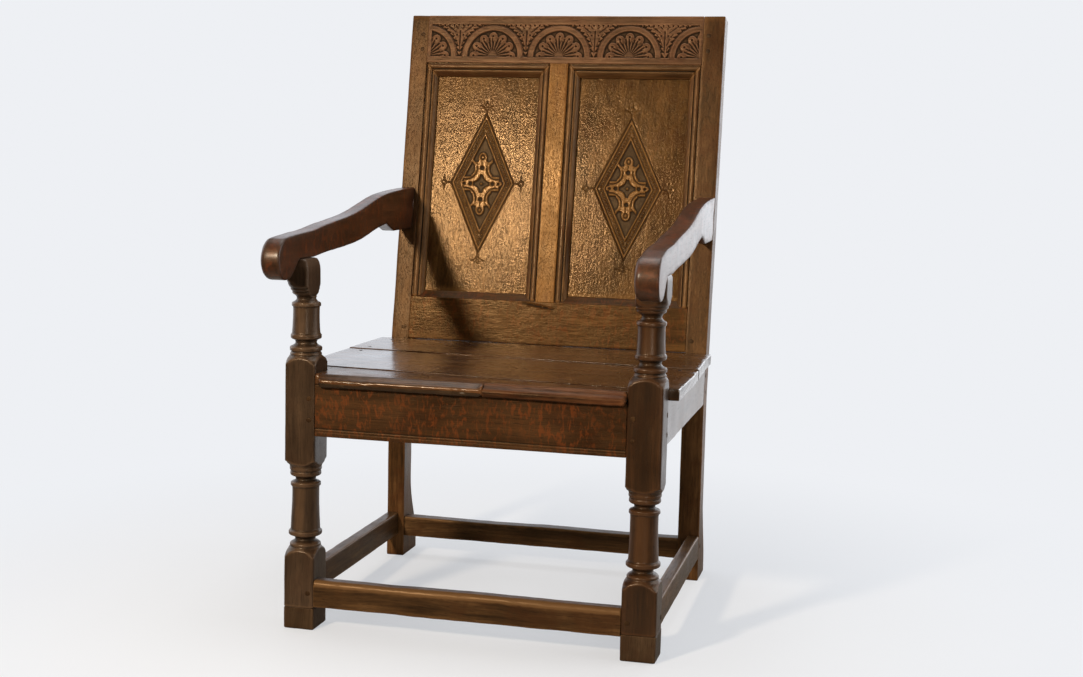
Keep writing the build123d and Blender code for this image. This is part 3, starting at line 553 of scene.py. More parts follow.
def post_place(t, x, depth):
    """Place on a post from its length t: upright up to the bend, raked above."""
    lean = RAKE * np.clip((t - BEND + BEND_SOFT) / (2 * BEND_SOFT), 0, 1)
    run = np.maximum(t - BEND, 0)
    y = SETBACK + run * math.sin(RAKE) + depth * np.cos(lean)
    z = np.minimum(t, BEND) + run * math.cos(RAKE) - depth * np.sin(lean)
    return x, y, z


POST_DEEP = 43.0
HEEL_KICK = 37.0
HEEL_TOP, HEEL_LONG = 158.0, 140.0                   # where the kick begins, and over what height
BACK_RUN = 718.8
POST_CORNERS = {"left": (1.8, 0.6, 1.8, 1.8), "right": (0.6, 1.8, 1.8, 1.8)}    # sharp beside the panels
post_oak = old_oak("old_oak_posts", (0.15, 0.069, 0.0245), (0.08, 0.0346, 0.0114),
                   (0.029, 0.0127, 0.0044), seed=3.0, gloss=0.32, wear_and_highlight=0.6, mottle=0.6)
for side, corners in POST_CORNERS.items():
    post_low, post_high = box_of(f"back_post_{side}")

    def post_sides(t):
        heel = HEEL_KICK * step_up(-t, -HEEL_TOP, HEEL_LONG - HEEL_TOP) ** 1.15
        return post_low[0], post_high[0], 0.0, POST_DEEP + heel

    lengths = np.concatenate([np.arange(0, 180, 5.0), np.arange(180, 340, 9.0), np.arange(340, 392, 4.0),
                              np.arange(392, BEND + BACK_RUN - 6, 8.0), [BEND + BACK_RUN]])
    mesh = bar(f"back_post_{side}_sawn", "Z", lengths, post_sides, corner=corners, spacing=(5.0, 6.0),
               ends=(1.5, 1.6), place=post_place)
    wear_and_fit(mesh, [f"back_post_{side}"], post_oak,
                 wear=(0.34, 0.07, 11 if side == "left" else 12), rounds=6)


# ------------------------------------------------------------------------------------------------
# Seat rails.  Four oak rails pegged into the legs and posts.  The front one shows, and has a
# line scratched along it near the lower edge; the wood is quartered and shows orange ray fleck.
# ------------------------------------------------------------------------------------------------
SHY = 0.2                                             # each shoulder stands this far off its neighbour
RAIL_THICK = 26.0
FRONT_RAIL_INSET, BACK_RAIL_INSET = 1.0, 2.0          # behind the legs' and the posts' front faces
INTO_POST = 12.0                                      # the side rails run on this far inside the posts
SCRATCH_LEFT, SCRATCH_FALL = 343.5, 2.5               # height of the scratched line, its fall to the right
SECOND_SCRATCH = 4.6                                  # a fainter line lies this far below it
leg_x0, leg_x1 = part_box("front_leg_left")[1][0] / MM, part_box("front_leg_right")[0][0] / MM
post_x0, post_x1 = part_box("back_post_left")[1][0] / MM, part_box("back_post_right")[0][0] / MM
SEAT_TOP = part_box("seat_board_middle")[1][2] / MM
SEAT_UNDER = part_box("seat_board_middle")[0][2] / MM
rail_low, side_rail_low = (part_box(node)[0][2] / MM for node in ("seat_rail_front", "seat_rail_left"))
rail_oak = old_oak("old_oak_rails", (0.084, 0.0345, 0.0118), (0.0425, 0.0183, 0.0066),
                   (0.018, 0.008, 0.0032), along="X", seed=4.4, gloss=0.38, shine=0.25, streaks=0.7,
                   fleck=0.5, fleck_colour=(0.19, 0.045, 0.01))
side_rail_oak = old_oak("old_oak_side_rails", (0.12, 0.06, 0.024), (0.064, 0.031, 0.012),
                        (0.027, 0.013, 0.0055), along="Y", seed=5.0, gloss=0.26, wax=0.8, fleck=0.3)


def between_shoulders(start, end, spacing):
    """Stations from one shoulder to the other, each a little shy of its neighbour."""
    return [*np.arange(start + SHY, end, spacing), end - SHY]


def line_across(z, middle, half_wide):
    """Rounded cut from 1 at its middle to 0 beside it."""
    return np.exp(-((z - middle) / half_wide) ** 2)


mesh = bar("seat_rail_front_board", "X", between_shoulders(leg_x0, leg_x1, 6.0),
           lambda t: (FRONT_RAIL_INSET, FRONT_RAIL_INSET + RAIL_THICK, rail_low, SEAT_UNDER - SHY),
           corner=(2.2, 1.2, 1.0, 1.0), spacing=(8.0, 1.5))
weather(mesh, 0.35, 0.07, 21)
places = corners_of(mesh)
x, y, z = in_chair(places)
scratched = SCRATCH_LEFT - SCRATCH_FALL * (x - leg_x0) / (leg_x1 - leg_x0)
cut = 1.5 * line_across(z, scratched, 1.3) + 0.8 * line_across(z, scratched - SECOND_SCRATCH, 1.0)
places[:, 1] += np.where(y < 6, cut * MM, 0)
move_to(mesh, places)
note_relief(mesh, 6)
fit(mesh, ["seat_rail_front"], rail_oak)

leg_back = {side: (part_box(f"front_leg_{side}")[1][1] - front_y) / MM for side in LEG_SHAPES}
for side, seed in (("left", 22), ("right", 24)):
    rail_face_low, rail_face_high = box_of(f"seat_rail_{side}")
    stations = [*np.arange(leg_back[side] + SHY, SETBACK + INTO_POST - 4, 7.0), SETBACK + INTO_POST]
    mesh = bar(f"seat_rail_{side}_board", "Y", stations,
               lambda t: (rail_face_low[0], rail_face_high[0], side_rail_low, SEAT_UNDER - SHY),
               corner=1.6, spacing=(8.0, 6.0))
    wear_and_fit(mesh, [f"seat_rail_{side}"], side_rail_oak,
                 wear=(0.4, 0.06, seed), rounds=6)
rail_front = SETBACK + BACK_RAIL_INSET
mesh = bar("seat_rail_back_board", "X", between_shoulders(post_x0, post_x1, 9.0),
           lambda t: (rail_front, rail_front + RAIL_THICK, side_rail_low, SEAT_UNDER - SHY),
           corner=1.4, spacing=(8.0, 8.0))
wear_and_fit(mesh, ["seat_rail_back"], rail_oak, wear=(0.5, 0.07, 27), rounds=4)


# ------------------------------------------------------------------------------------------------
# Stretchers.  Four plain oak bars low down between legs and posts.  Heels have rubbed the top
# arris of the front one round; its pale edge is part wear and part painted highlight.
# ------------------------------------------------------------------------------------------------
WORN_HOLLOWS = 1.2, 95.0                              # depth and length of the hollows trodden in the top
stretcher_oak = old_oak("old_oak_stretchers", (0.13, 0.066, 0.026), (0.064, 0.031, 0.012),
                        (0.027, 0.0132, 0.0055), along="X", seed=6.0, wear_and_highlight=1.4)
side_stretcher_oak = old_oak("old_oak_side_stretchers", (0.12, 0.062, 0.026), (0.061, 0.031, 0.0128),
                             (0.027, 0.0135, 0.006), along="Y", seed=7.0, gloss=0.3, wear_and_highlight=1.2)
for end_name, (x0, x1), round_top in (("front", (leg_x0, leg_x1), 8.0), ("back", (post_x0, post_x1), 3.0)):
    low_corner, high_corner = box_of(f"stretcher_{end_name}")

    def stretcher_sides(t):
        hollow = WORN_HOLLOWS[0] * np.sin((t - x0) / WORN_HOLLOWS[1]) ** 2
        return (low_corner[1] - front_y / MM, high_corner[1] - front_y / MM,
                low_corner[2], high_corner[2] - hollow)

    mesh = bar(f"stretcher_{end_name}_bar", "X", between_shoulders(x0, x1, 5.0), stretcher_sides,
               corner=(2.0, 1.5, 2.5, round_top), spacing=(4.0, 4.0))
    wear_and_fit(mesh, [f"stretcher_{end_name}"], stretcher_oak,
                 wear=(0.55, 0.05, 31), rounds=6)
for side, seed in (("left", 32), ("right", 34)):
    low_corner, high_corner = box_of(f"stretcher_{side}")
    mesh = bar(f"stretcher_{side}_bar", "Y", between_shoulders(leg_back[side], SETBACK, 6.0),
               lambda t: (low_corner[0], high_corner[0], low_corner[2], high_corner[2]),
               corner=2.4, spacing=(5.0, 5.0))
    wear_and_fit(mesh, [f"stretcher_{side}"], side_stretcher_oak,
                 wear=(0.5, 0.05, seed), rounds=6)


# ------------------------------------------------------------------------------------------------
# Back frame: bottom rail and muntin.  Oak members 30 mm thick, tenoned and pegged.  The bottom
# rail has a plain chamfer along its top, on to which the mouldings run down, and an old crack.
# ------------------------------------------------------------------------------------------------
FRAME_THICK = 30.0
PANEL_SET_BACK = 16.0
RAIL_FOOT, RAIL_ARRIS, SILL, HEAD = 72.3, 155.3, 170.3, 624.5      # runs up the back
RAIL_EASE, CREST_EASE = 1.0, 1.8                      # rounding of the rails' arrises
CRACK_DEEP, CRACK_HALF_WIDE = 3.2, 1.25
muntin_x0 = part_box("moulding_left_muntin")[1][0] / MM
muntin_x1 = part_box("moulding_right_muntin")[0][0] / MM
tilt = math.tan(RAKE)


def eased_outline(corners, radius, spacings):
    """Closed outline through corners, each eased by a radius, with its own spacing on each side."""
    count = len(corners)
    corners = [np.array(c, dtype=float) for c in corners]
    arcs = []
    for i in range(count):
        before, corner, after = corners[i - 1], corners[i], corners[(i + 1) % count]
        long_before, long_after = np.linalg.norm(before - corner), np.linalg.norm(after - corner)
        cut = min(radius, 0.45 * long_before, 0.45 * long_after)
        start = corner + (before - corner) / long_before * cut
        end = corner + (after - corner) / long_after * cut
        arcs.append([(1 - s) ** 2 * start + 2 * s * (1 - s) * corner + s ** 2 * end
                     for s in (0, 0.3, 0.7, 1)])
    points = []
    for i in range(count):
        points += arcs[i]
        start, end = arcs[i][-1], arcs[(i + 1) % count][0]
        steps = max(1, round(np.linalg.norm(end - start) / spacings[i]))
        points += [start + (end - start) * k / steps for k in range(1, steps)]
    return np.array(points)


def back_member(name, xs, outline, cut):
    """Rail across the back: an outline of (depth, run) along x, with cuts in its face."""
    x = np.broadcast_to(np.asarray(xs, dtype=float)[:, None], (len(xs), len(outline)))
    depth = np.broadcast_to(outline[:, 0], x.shape)
    run = np.broadcast_to(outline[:, 1], x.shape)
    sunk = np.where(depth < 2.5, cut(x, run), 0)
    mesh = shell(name, chair(*raked(x, depth + sunk, run)))
    note_sunk(mesh, sunk * 0.75)
    return mesh


def note_sunk(mesh, depths):
    """Stores how deep each vertex was cut in below the face, in mm, for dark sunken grounds."""
    layer = mesh.attributes.new("sunk", "FLOAT", "POINT")
    layer.data.foreach_set("value", np.ascontiguousarray(depths, dtype=float).reshape(-1))


frame_oak = old_oak("old_oak_frame", (0.108, 0.0445, 0.0105), (0.055, 0.022, 0.005),
                    (0.0205, 0.008, 0.002), along="X", seed=8.0, gloss=0.28, shine=0.26, shine_tint=0.3,
                    wear_and_highlight=0.7, fleck=0.35, mottle=0.7)
# its edges lightened: wear and painted highlights
muntin_oak = old_oak("old_oak_muntin", (0.235, 0.098, 0.019), (0.15, 0.059, 0.01),
                     (0.062, 0.0235, 0.0045), seed=9.0, gloss=0.25, shine=0.42, shine_tint=0.3,
                     wear_and_highlight=1.1, mottle=0.7)


def rail_crack(x, run):
    """Depth of the old drying crack that slants down to the right below the muntin."""
    middle = 148.5 - 0.17 * (x + 30)
    fading = np.clip((x + 55) / 22, 0, 1) * np.clip((18 - x) / 20, 0, 1)
    return CRACK_DEEP * line_across(run, middle, CRACK_HALF_WIDE) * fading


outline = eased_outline([(0, RAIL_FOOT), (FRAME_THICK, RAIL_FOOT + FRAME_THICK * tilt), (FRAME_THICK, SILL),
                         (PANEL_SET_BACK, SILL), (0, RAIL_ARRIS)], RAIL_EASE, (8, 8, 6, 3, 2.5))
xs = np.concatenate([
    [post_x0 + SHY, post_x0 + 1.1], np.arange(post_x0 + 7, -62, 7.0), np.arange(-60, 24, 2.0),
    np.arange(28, post_x1 - 4, 7.0), [post_x1 - 1.1, post_x1 - SHY]])
mesh = back_member("back_bottom_rail_board", xs, outline, rail_crack)
wear_and_fit(mesh, ["back_bottom_rail"], frame_oak, wear=(0.32, 0.08, 41), rounds=5)

mesh = bar("back_muntin_board", "Z", [*np.arange(RAIL_ARRIS, HEAD - 1, 6.0), HEAD],
           lambda t: (muntin_x0, muntin_x1, 0.0, FRAME_THICK), corner=0.8, spacing=(3.0, 8.0),
           place=lambda t, x, depth: raked(x, depth, t))
wear_and_fit(mesh, ["back_muntin"], muntin_oak, wear=(0.3, 0.07, 42), rounds=5)


# ------------------------------------------------------------------------------------------------
# Carved crest rail.  A row of round arches, each with a fan of five lobed petals, runs across it
# with serrated leaves standing between the arches.  It was cut with gouges, by hand and eye.
# ------------------------------------------------------------------------------------------------
ARCHES = (-281.0, -144.5, -9.5, 130.0, 271.0)         # x of the arches' middles, set out by eye
STEMS = (-213.0, -76.5, 61.0, 198.5)                  # x of the leaves between them
ARCH_FOOT, ARCH_TOP = 994.5, 1057.0                   # heights
FAN_RADIUS = 51.35                                    # hollow that holds the fan
BAND_LINE = 62.4                                      # line cut round the arch's band
CARVED_BAND = run_at(991.0), run_at(1060.0)           # runs of the finely meshed band
CARVED_STEP = 1.15


def groove_at(distance, half_wide):
    """V groove from 1 in its bottom to 0 at its edges."""
    return np.clip(1 - np.abs(distance) / half_wide, 0, 1)


def fan(dx, dz):
    """Depth of the fan below the crest's face, about the middle of its foot: flutes, lobes and boss."""
    radius = np.hypot(dx, dz - 1.5)
    turn = np.degrees(np.arctan2(dx, dz - 1.5))
    lobe_turn = np.radians((turn + 15) % 30 - 15)
    across, ahead = radius * np.sin(lobe_turn), radius * np.cos(lobe_turn)
    lobe = np.hypot(across, (ahead - 38.0) * 0.97)
    blade = step_up(39.0 - radius, 0.0, 1.5)
    leaf = np.maximum(step_up(9.4 - lobe, 0.0, 1.3), blade)
    dome = 1.5 * (1 - np.clip(lobe / 10, 0, 1) ** 2) * step_up(radius, 27, 33)
    depth = 4.0 - leaf * (2.5 + dome)
    flute_turn = np.radians((turn + 7.5) % 15 - 7.5)
    flute = np.clip(1 - np.abs(flute_turn) / np.radians(5.0), 0, 1) ** 0.75
    far_end = np.where(np.abs((turn + 7.5) % 30 - 15) < 7.5, 30.5, 37.0)
    depth += 3.2 * flute * step_up(radius, 7.5, 11) * step_up(far_end - radius, 0, 4) * leaf
    depth += 2.6 * step_up(2.7 - np.hypot(across, ahead - 38.5), 0, 1.4)
    boss = np.hypot(dx / 1.15, dz + 3.0)
    return depth * step_up(boss, 7.0, 9.0) + (1 - step_up(boss, 6.5, 9.0)) * (0.9 + boss * 0.12)


# veins cut beside a leaf's stem, as lines in (distance from the stem, height)
SIDE_VEINS = (((4.5, 1018), (9.5, 1031)), ((9, 1043), (20, 1050)), ((14, 1047.5), (26, 1055)),
              ((4.5, 1008), (7, 1015)), ((12, 1035), (16, 1040)), ((28, 1053.5), (38, 1055.5)),
              ((5, 1050), (9, 1055)))


def leaf_between(beside, z, margin, turn, above):
    """Depth of the ground and the toothed leaf that fills the space between two arches.

    beside is the distance from its stem, margin that from the arch's band, turn the angle round
    the arch, and above is 1 over the arches' foot.
    """
    below_top = ARCH_TOP - z
    field = step_up(np.minimum(margin, below_top + 0.6), 0.0, 1.0) * above
    notch = 1 - (turn * 63 / 9.6) % 1
    edge = 0.7 + 5.4 * notch ** 1.3
    leaf = step_up(margin - edge, 0, 1.1)
    scallop = np.clip(np.abs(((beside + 203) / 9.5) % 1 - 0.5) - 0.3, 0, 1) / 0.2
    leaf = leaf * (1 - step_up(4.2 * scallop - np.maximum(below_top, 0), 0, 1.0))
    depth = field * (4.2 - leaf * (3.5 + 0.7 * step_up(8 - below_top, 0, 6)))
    vein = 2.6 * groove_at(beside, 1.2 + 0.015 * np.clip(z - 1000, 0, 60))
    vein = vein * step_up(z, 1001, 1005) * step_up(1047 - z, 0, 3)
    eyes = 2.2 * step_up(2.2 - np.hypot(np.abs(beside) - 6.8, z - 1037), 0, 1.3)
    side_cut = to_lines(np.abs(beside), z, SIDE_VEINS)
    cuts = (vein + eyes + 1.7 * groove_at(side_cut, 1.3)) * leaf
    return np.minimum(depth + field * cuts, 4.6)


def to_lines(dx, dz, lines):
    """Distance to the nearest of some straight lines, each from one point to another."""
    nearest = np.inf
    for (ax, az), (bx, bz) in lines:
        bx, bz = bx - ax, bz - az
        share = np.clip(((dx - ax) * bx + (dz - az) * bz) / (bx * bx + bz * bz), 0, 1)
        nearest = np.minimum(nearest, np.hypot(dx - ax - share * bx, dz - az - share * bz))
    return nearest


def crest_cut(x, run):
    """Depth of the carving in the crest's face."""
    z = BEND + run * math.cos(RAKE)
    near = np.stack([np.hypot(x - c, z - ARCH_FOOT) for c in ARCHES])
    nearest = near.argmin(axis=0)
    dx = x - np.array(ARCHES)[nearest]
    radius = near.min(axis=0)
    dz = z - ARCH_FOOT
    above = step_up(dz, -1.0, 0.8)
    inside = (1 - step_up(radius, FAN_RADIUS - 0.85, FAN_RADIUS + 0.85)) * above
    depth = inside * np.minimum(5.0, fan(dx, dz))
    depth += 2.2 * groove_at(radius - BAND_LINE, 1.7) * above
    stem = np.array(STEMS)[np.abs(x[..., None] - np.array(STEMS)).argmin(axis=-1)]
    leaves = leaf_between(x - stem, z, radius - BAND_LINE - 0.6, np.arctan2(dz, np.abs(dx)), above)
    ends = step_up(x, post_x0 + 6, post_x0 + 8) * step_up(post_x1 - 6 - x, 0, 2)
    return np.maximum(depth, leaves) * ends


crest_oak = old_oak("old_oak_crest", (0.2, 0.095, 0.046), (0.113, 0.0518, 0.0255),
                    (0.043, 0.0194, 0.0094), along="X", seed=10.0, grime_and_shade=0.95, sinking=0.6, wear_and_highlight=1.3,
                    mottle=0.7)
outline = eased_outline([(0, HEAD), (FRAME_THICK, HEAD), (FRAME_THICK, BACK_RUN), (0, BACK_RUN),
                         (0, CARVED_BAND[1]), (0, CARVED_BAND[0])], CREST_EASE, (6, 8, 4, 3, CARVED_STEP, 3))
mesh = back_member("crest_rail_carved", np.arange(post_x0 + SHY, post_x1 - 0.1, CARVED_STEP), outline,
                   crest_cut)
wear_and_fit(mesh, ["crest_rail"], crest_oak, wear=(0.22, 0.05, 51), rounds=8)


# ------------------------------------------------------------------------------------------------
# Carved back panels.  Two thin boards of riven oak, loose in their grooves, each cut with a tall
# lozenge: a punched border round a sunken ground with a raised cross of leaves.
# ------------------------------------------------------------------------------------------------
PANEL_THICK = 8.7
IN_GROOVE = 6.0                                       # panel hidden in the frame's grooves
# x and height of a lozenge's middle, half its width and height, and middle of its cross of leaves
LOZENGES = {
    "left": dict(middle=(-152.0, 745.5), half=(65.5, 139.5), cross=(-154.5, 744.0)),
    "right": dict(middle=(141.0, 741.0), half=(68.0, 140.0), cross=(139.5, 742.0)),
}


def cross_of_leaves(dx, dz):
    """How much of the leaf cross stands at a place, 0 to 1, and how deep its own cuts are."""
    ax, az = np.abs(dx), np.abs(dz)
    hollow = np.hypot(ax - 31, az - 30)
    off = hollow - 15.6
    upright = np.minimum(np.minimum(21.5 - ax, 48.5 - az), off)
    upright = np.minimum(upright, np.hypot(ax - 12.8, az - 48.5) - 5.2)
    bud = (1 - np.hypot(ax / 9.3, (az - 50) / 12.2)) * 9.3
    upright = np.maximum(upright, bud)
    level = np.minimum(np.minimum(14.5 - az, 36.5 - ax), off)
    level = np.minimum(level, np.hypot(ax - 41, az - 8) - 4.6)
    level = np.maximum(level, 5.2 - np.hypot(ax - 37.5, az))
    raised = step_up(np.maximum(upright, level), -0.2, 0.9)

    # lines beside the hollows, star in the middle, drilled eyes, and lines in the buds and tips
    cuts = 1.9 * groove_at(hollow - 21.4, 1.4) * step_up(46 - ax - az, 0, 3)
    star = np.minimum(np.hypot(ax - 18, az - 18.5) - 14.6, np.minimum(18 - az, 17 - ax))
    cuts += 2.4 * step_up(star, -0.2, 1.6) * step_up(np.hypot(dx, dz), 1.5, 3.5)
    cuts += 2.6 * step_up(4.6 - np.hypot(ax, az - 31), 0, 1.3)
    cuts += 2.4 * step_up(4.3 - np.hypot(ax - 22.8, az), 0, 1.3)
    cuts += 2.2 * step_up(3.2 - np.hypot(ax - 35, az), 0, 1.2)
    ring = np.hypot(ax / 0.8, az - 52)
    cuts += 1.9 * groove_at(ring - 4.4, 1.7)
    cuts += 1.0 * groove_at(to_lines(ax, az, [((0, 36.5), (0, 44))]), 1.0)
    cuts += 0.9 * groove_at(to_lines(ax, az, [((9, 38), (15.5, 44))]), 1.0)
    return raised, cuts


# stalks that lead to the loops beyond the lozenge's points, from its upper or its outer point
END_STALKS = (((0, 0), (0, 5)), ((0, 5), (5, 11)), ((5, 11), (13, 14)), ((7, 13), (5, 18)))
SIDE_STALKS = (((0, 0), (9, 0)), ((9, 1), (13, 6)), ((13, 6), (14, 14)))


def lozenge_cut(x, z, shape):
    """Depth of a panel's carving, and how much wear each place shows."""
    dx, dz = x - shape["middle"][0], z - shape["middle"][1]
    half_x, half_z = shape["half"]
    inside = (1 - np.abs(dx) / half_x - np.abs(dz) / half_z) / math.hypot(1 / half_x, 1 / half_z)
    along_side = (np.abs(dx) * half_x - np.abs(dz) * half_z) / math.hypot(half_x, half_z)
    depth = 2.1 * groove_at(inside - 1.5, 1.6)
    band = step_up(inside, 5.6, 6.8) * (1 - step_up(inside, 16.2, 17.4))
    spot_along = ((along_side / 5.8) % 1 - 0.5) * 5.8
    punched = step_up(2.6 - np.hypot(spot_along, inside - 11.6), 0, 1.3)
    depth += band * (1.7 - 1.1 * punched)
    ground = step_up(inside, 19.6, 20.8)
    cross_x, cross_z = x - shape["cross"][0], z - shape["cross"][1]
    raised, cuts = cross_of_leaves(cross_x, cross_z)
    depth += ground * (3.1 - 2.9 * raised + np.minimum(cuts, 2.8) * raised)
    fillets = np.maximum(groove_at(inside - 4.4, 2.4), groove_at(inside - 18.6, 2.2))
    rubbed_and_glint = np.maximum(ground * raised * (1 - step_up(cuts, 0.2, 1.0)), 0.8 * np.minimum(1, 1.6 * fillets))
    rubbed_and_glint = rubbed_and_glint * (depth < 1.2) + 0.75 * band * (1 - 0.4 * punched)

    # loops cut beyond the four points
    past_x, past_z = np.abs(dx) - half_x, np.abs(dz) - half_z
    ends = np.abs(np.hypot(dx, past_z - 14.5) - 4.0)
    ends = np.minimum(ends, to_lines(np.abs(dx), past_z, END_STALKS))
    sides = np.abs(np.hypot(past_x - 14, dz) - 4.4)
    sides = np.minimum(sides, to_lines(past_x, np.abs(dz), SIDE_STALKS))
    depth += 0.9 * groove_at(np.minimum(ends, sides), 1.15) * (inside < 0.5)
    return depth, rubbed_and_glint


def grid_lines(low, high, fine_low, fine_high, fine, coarse):
    """Places from low to high, close together in the carved stretch."""
    return np.concatenate([np.linspace(low, fine_low, max(2, round((fine_low - low) / coarse)))[:-1],
                           np.arange(fine_low, fine_high, fine),
                           np.linspace(fine_high, high, max(2, round((high - fine_high) / coarse)))])


panel_oak = old_oak("old_oak_panels", (0.138, 0.0638, 0.018), (0.074, 0.033, 0.0091),
                    (0.028, 0.0121, 0.0035), seed=11.0, gloss=0.175, shine=0.28, shine_tint=0.34,
                    bumpy=0.42, dusty=0.05, grime_and_shade=0.85, waves=0.1, fibres=0.15, mottle=0.62)
openings = {"left": (post_x0, muntin_x0), "right": (muntin_x1, post_x1)}
for side, shape in LOZENGES.items():
    x0, x1 = openings[side]
    middle_x, middle_z = shape["middle"]
    low, high = SILL - IN_GROOVE, HEAD + IN_GROOVE
    xs = grid_lines(x0 - IN_GROOVE, x1 + IN_GROOVE, middle_x - 88, middle_x + 88, 1.2, 4.0)
    runs = grid_lines(low, high, run_at(middle_z - 160), run_at(middle_z + 160), 1.25, 6.0)
    front = np.stack([np.full_like(runs, PANEL_SET_BACK), runs], axis=1)[::-1]
    back = [(PANEL_SET_BACK + PANEL_THICK, low), (PANEL_SET_BACK + PANEL_THICK, high)]
    outline = np.concatenate([back, front])
    x = np.broadcast_to(xs[:, None], (len(xs), len(outline)))
    depth = np.broadcast_to(outline[:, 0], x.shape)
    run = np.broadcast_to(outline[:, 1], x.shape)
    z = BEND + run * math.cos(RAKE) - PANEL_SET_BACK * math.sin(RAKE)
    sunk, rubbed_and_glint = lozenge_cut(x, z, shape)
    sunk[:, :len(back)] = 0
    rubbed_and_glint[:, :len(back)] = 0
    mesh = shell(f"back_panel_{side}_carved", chair(*raked(x, depth + sunk, run)))
    note_sunk(mesh, sunk - 1.4 * rubbed_and_glint)
    wear_and_fit(mesh, [f"back_panel_{side}"], panel_oak,
                 wear=(0.2, 0.06, 61 if side == "left" else 62), rounds=8)


# ------------------------------------------------------------------------------------------------
# Panel mouldings.  Strips worked with a hand plane, mitred at the top corners, run round three
# sides of each opening; the two uprights run down on to the bottom rail's chamfer.
# ------------------------------------------------------------------------------------------------
MOULDING_WIDE, TOP_WIDE = 23.0, 26.0


def moulding_section(wide):
    """(across, depth) round one strip: quirk, bead, groove, ovolo, and its flat back."""
    bead = [(2.6 + 8.4 * s, 2.4 - 1.7 * math.sin(s * math.pi) ** 0.7) for s in np.linspace(0, 1, 11)]
    ovolo = [(14.2 + (wide - 14.2) * s, 3.6 + 8.6 * s ** 1.9) for s in np.linspace(0, 1, 11)]
    quirk, groove = [(0.0, 5.0), (0.1, 3.6), (1.2, 4.6), (2.2, 4.4)], [(11.4, 4.8), (12.6, 5.6), (13.6, 5.0)]
    flat_back = [(wide, PANEL_SET_BACK), (wide * 0.5, PANEL_SET_BACK), (0.0, PANEL_SET_BACK)]
    return np.array(quirk + bead + groove + ovolo + [(wide - 0.1, 14.0)] + flat_back)


def strip(name, depth, x, run):
    """Moulding from its depth, x and run, each for all stations or for the section's points."""
    whole = np.zeros(np.broadcast_shapes(np.shape(x), np.shape(run)))
    return shell(name, chair(*raked(x + whole, depth + whole, run + whole)))


# both mouldings' edges are lightened strongly: wear and painted speckled highlights
moulding_oak = old_oak("old_oak_mouldings", (0.19, 0.09, 0.03), (0.105, 0.047, 0.0155),
                       (0.04, 0.0178, 0.0064), seed=12.0, gloss=0.3, shine=0.5, grime_and_shade=1.2, wear_and_highlight=1.5)
top_moulding_oak = old_oak("old_oak_top_mouldings", (0.16, 0.074, 0.025), (0.088, 0.039, 0.0132),
                           (0.036, 0.0158, 0.0058), along="X", seed=13.0, gloss=0.32, shine=0.5,
                           grime_and_shade=1.2, wear_and_highlight=1.3)
STRIP_NAMES = {"left": ("stile", "muntin"), "right": ("muntin", "stile")}
for side, (x0, x1) in openings.items():
    across, depth = moulding_section(MOULDING_WIDE).T
    share = np.linspace(0, 1, 76)[:, None]
    for beside, edge, inward in zip(STRIP_NAMES[side], (x0, x1), (1, -1)):
        mitre = HEAD - across * TOP_WIDE / MOULDING_WIDE
        mesh = strip(f"moulding_{side}_{beside}_strip", depth, edge + inward * across,
                     RAIL_ARRIS + share * (mitre - RAIL_ARRIS))
        wear_and_fit(mesh, [f"moulding_{side}_{beside}"], moulding_oak,
                     wear=(0.22, 0.035, 71 + inward), rounds=5)
    across, depth = moulding_section(TOP_WIDE).T
    share = np.linspace(0, 1, 60)[:, None]
    mitre = across * MOULDING_WIDE / TOP_WIDE
    mesh = strip(f"moulding_{side}_top_strip", depth, x0 + mitre + share * (x1 - x0 - 2 * mitre),
                 HEAD - across)
    wear_and_fit(mesh, [f"moulding_{side}_top"], top_moulding_oak,
                 wear=(0.22, 0.035, 75), rounds=5)


# ------------------------------------------------------------------------------------------------
# Arms.  Sawn from thick oak to a drooping line that ends in a scroll over the front leg, and
# rounded over by hand and by centuries of hands.  The back end is tenoned into the post.
# ------------------------------------------------------------------------------------------------
# outline of an arm, in rises above the leg's top: along the top and the belly by share of the way from
# the leg's face to the post, round the scroll by distance from the nose
ARM_TOP = ((0.877, 106.5), (0.771, 102), (0.665, 94), (0.577, 83.5), (0.493, 73), (0.383, 63.5), (0.213, 53),
           (0.106, 45.5), (0.0, 41.5))
ARM_BELLY = ((0.213, 6), (0.352, 11), (0.45, 16), (0.545, 25), (0.639, 36))
SCROLL = ((32, 37), (18, 32.5), (8, 24), (1.5, 12), (0, 0), (3, -12), (10, -22.5), (21, -29.5), (34, -31.5),
          (48, -29), (63, -19), (77, -6))
# drop of the scroll; x of the outer and inner face at the nose and at the post; rounding of the outer
# and of the inner face's arris, each at the nose and behind it
ARM_SHAPES = {
    "left": dict(drop=0.0, nose_x=(-325.75, -291.25), post_x=(-313.0, -286.0), ease=((10, 5), (3.4, 3.0))),
    "right": dict(drop=4.0, nose_x=(317.8, 278.8), post_x=(313.0, 281.0), ease=((2.4, 2.2), (9, 5))),
}
NOTCH, SPUR = (155.0, 43.5), (110.0, 28.0)            # back from the post, rise above the leg's top
ARM_REAR_RISE = 110.5
ARM_TENON_LONG = 15.0                                 # the back end runs on this far inside the post
POST_X_AT = SETBACK + 60                              # y at which post_x holds
ROUNDING = np.radians([0, 18, 36, 54, 72, 90])        # steps of the arms' rounded arrises
NET_SPACING, NET_CLEAR = 6.5, 3.2                     # of a face's inner points, and from its edge


def smooth_line(points, step):
    """Places a step apart along a smooth curve through a few points."""
    points = [np.array(point, dtype=float) for point in points]
    points = [2 * points[0] - points[1]] + points + [2 * points[-1] - points[-2]]
    line = []
    for a, b, c, d in zip(points, points[1:], points[2:], points[3:]):
        count = max(1, round(float(np.linalg.norm(c - b)) / step))
        for s in np.linspace(0, 1, count, endpoint=False):
            line.append(b + 0.5 * s * (c - a + s * (2 * a - 5 * b + 4 * c - d + s * (3 * (b - c) + d - a))))
    return line + [points[-2]]


def post_face(z):
    """y of the posts' raked front face at a height."""
    return SETBACK + (z - BEND) * tilt


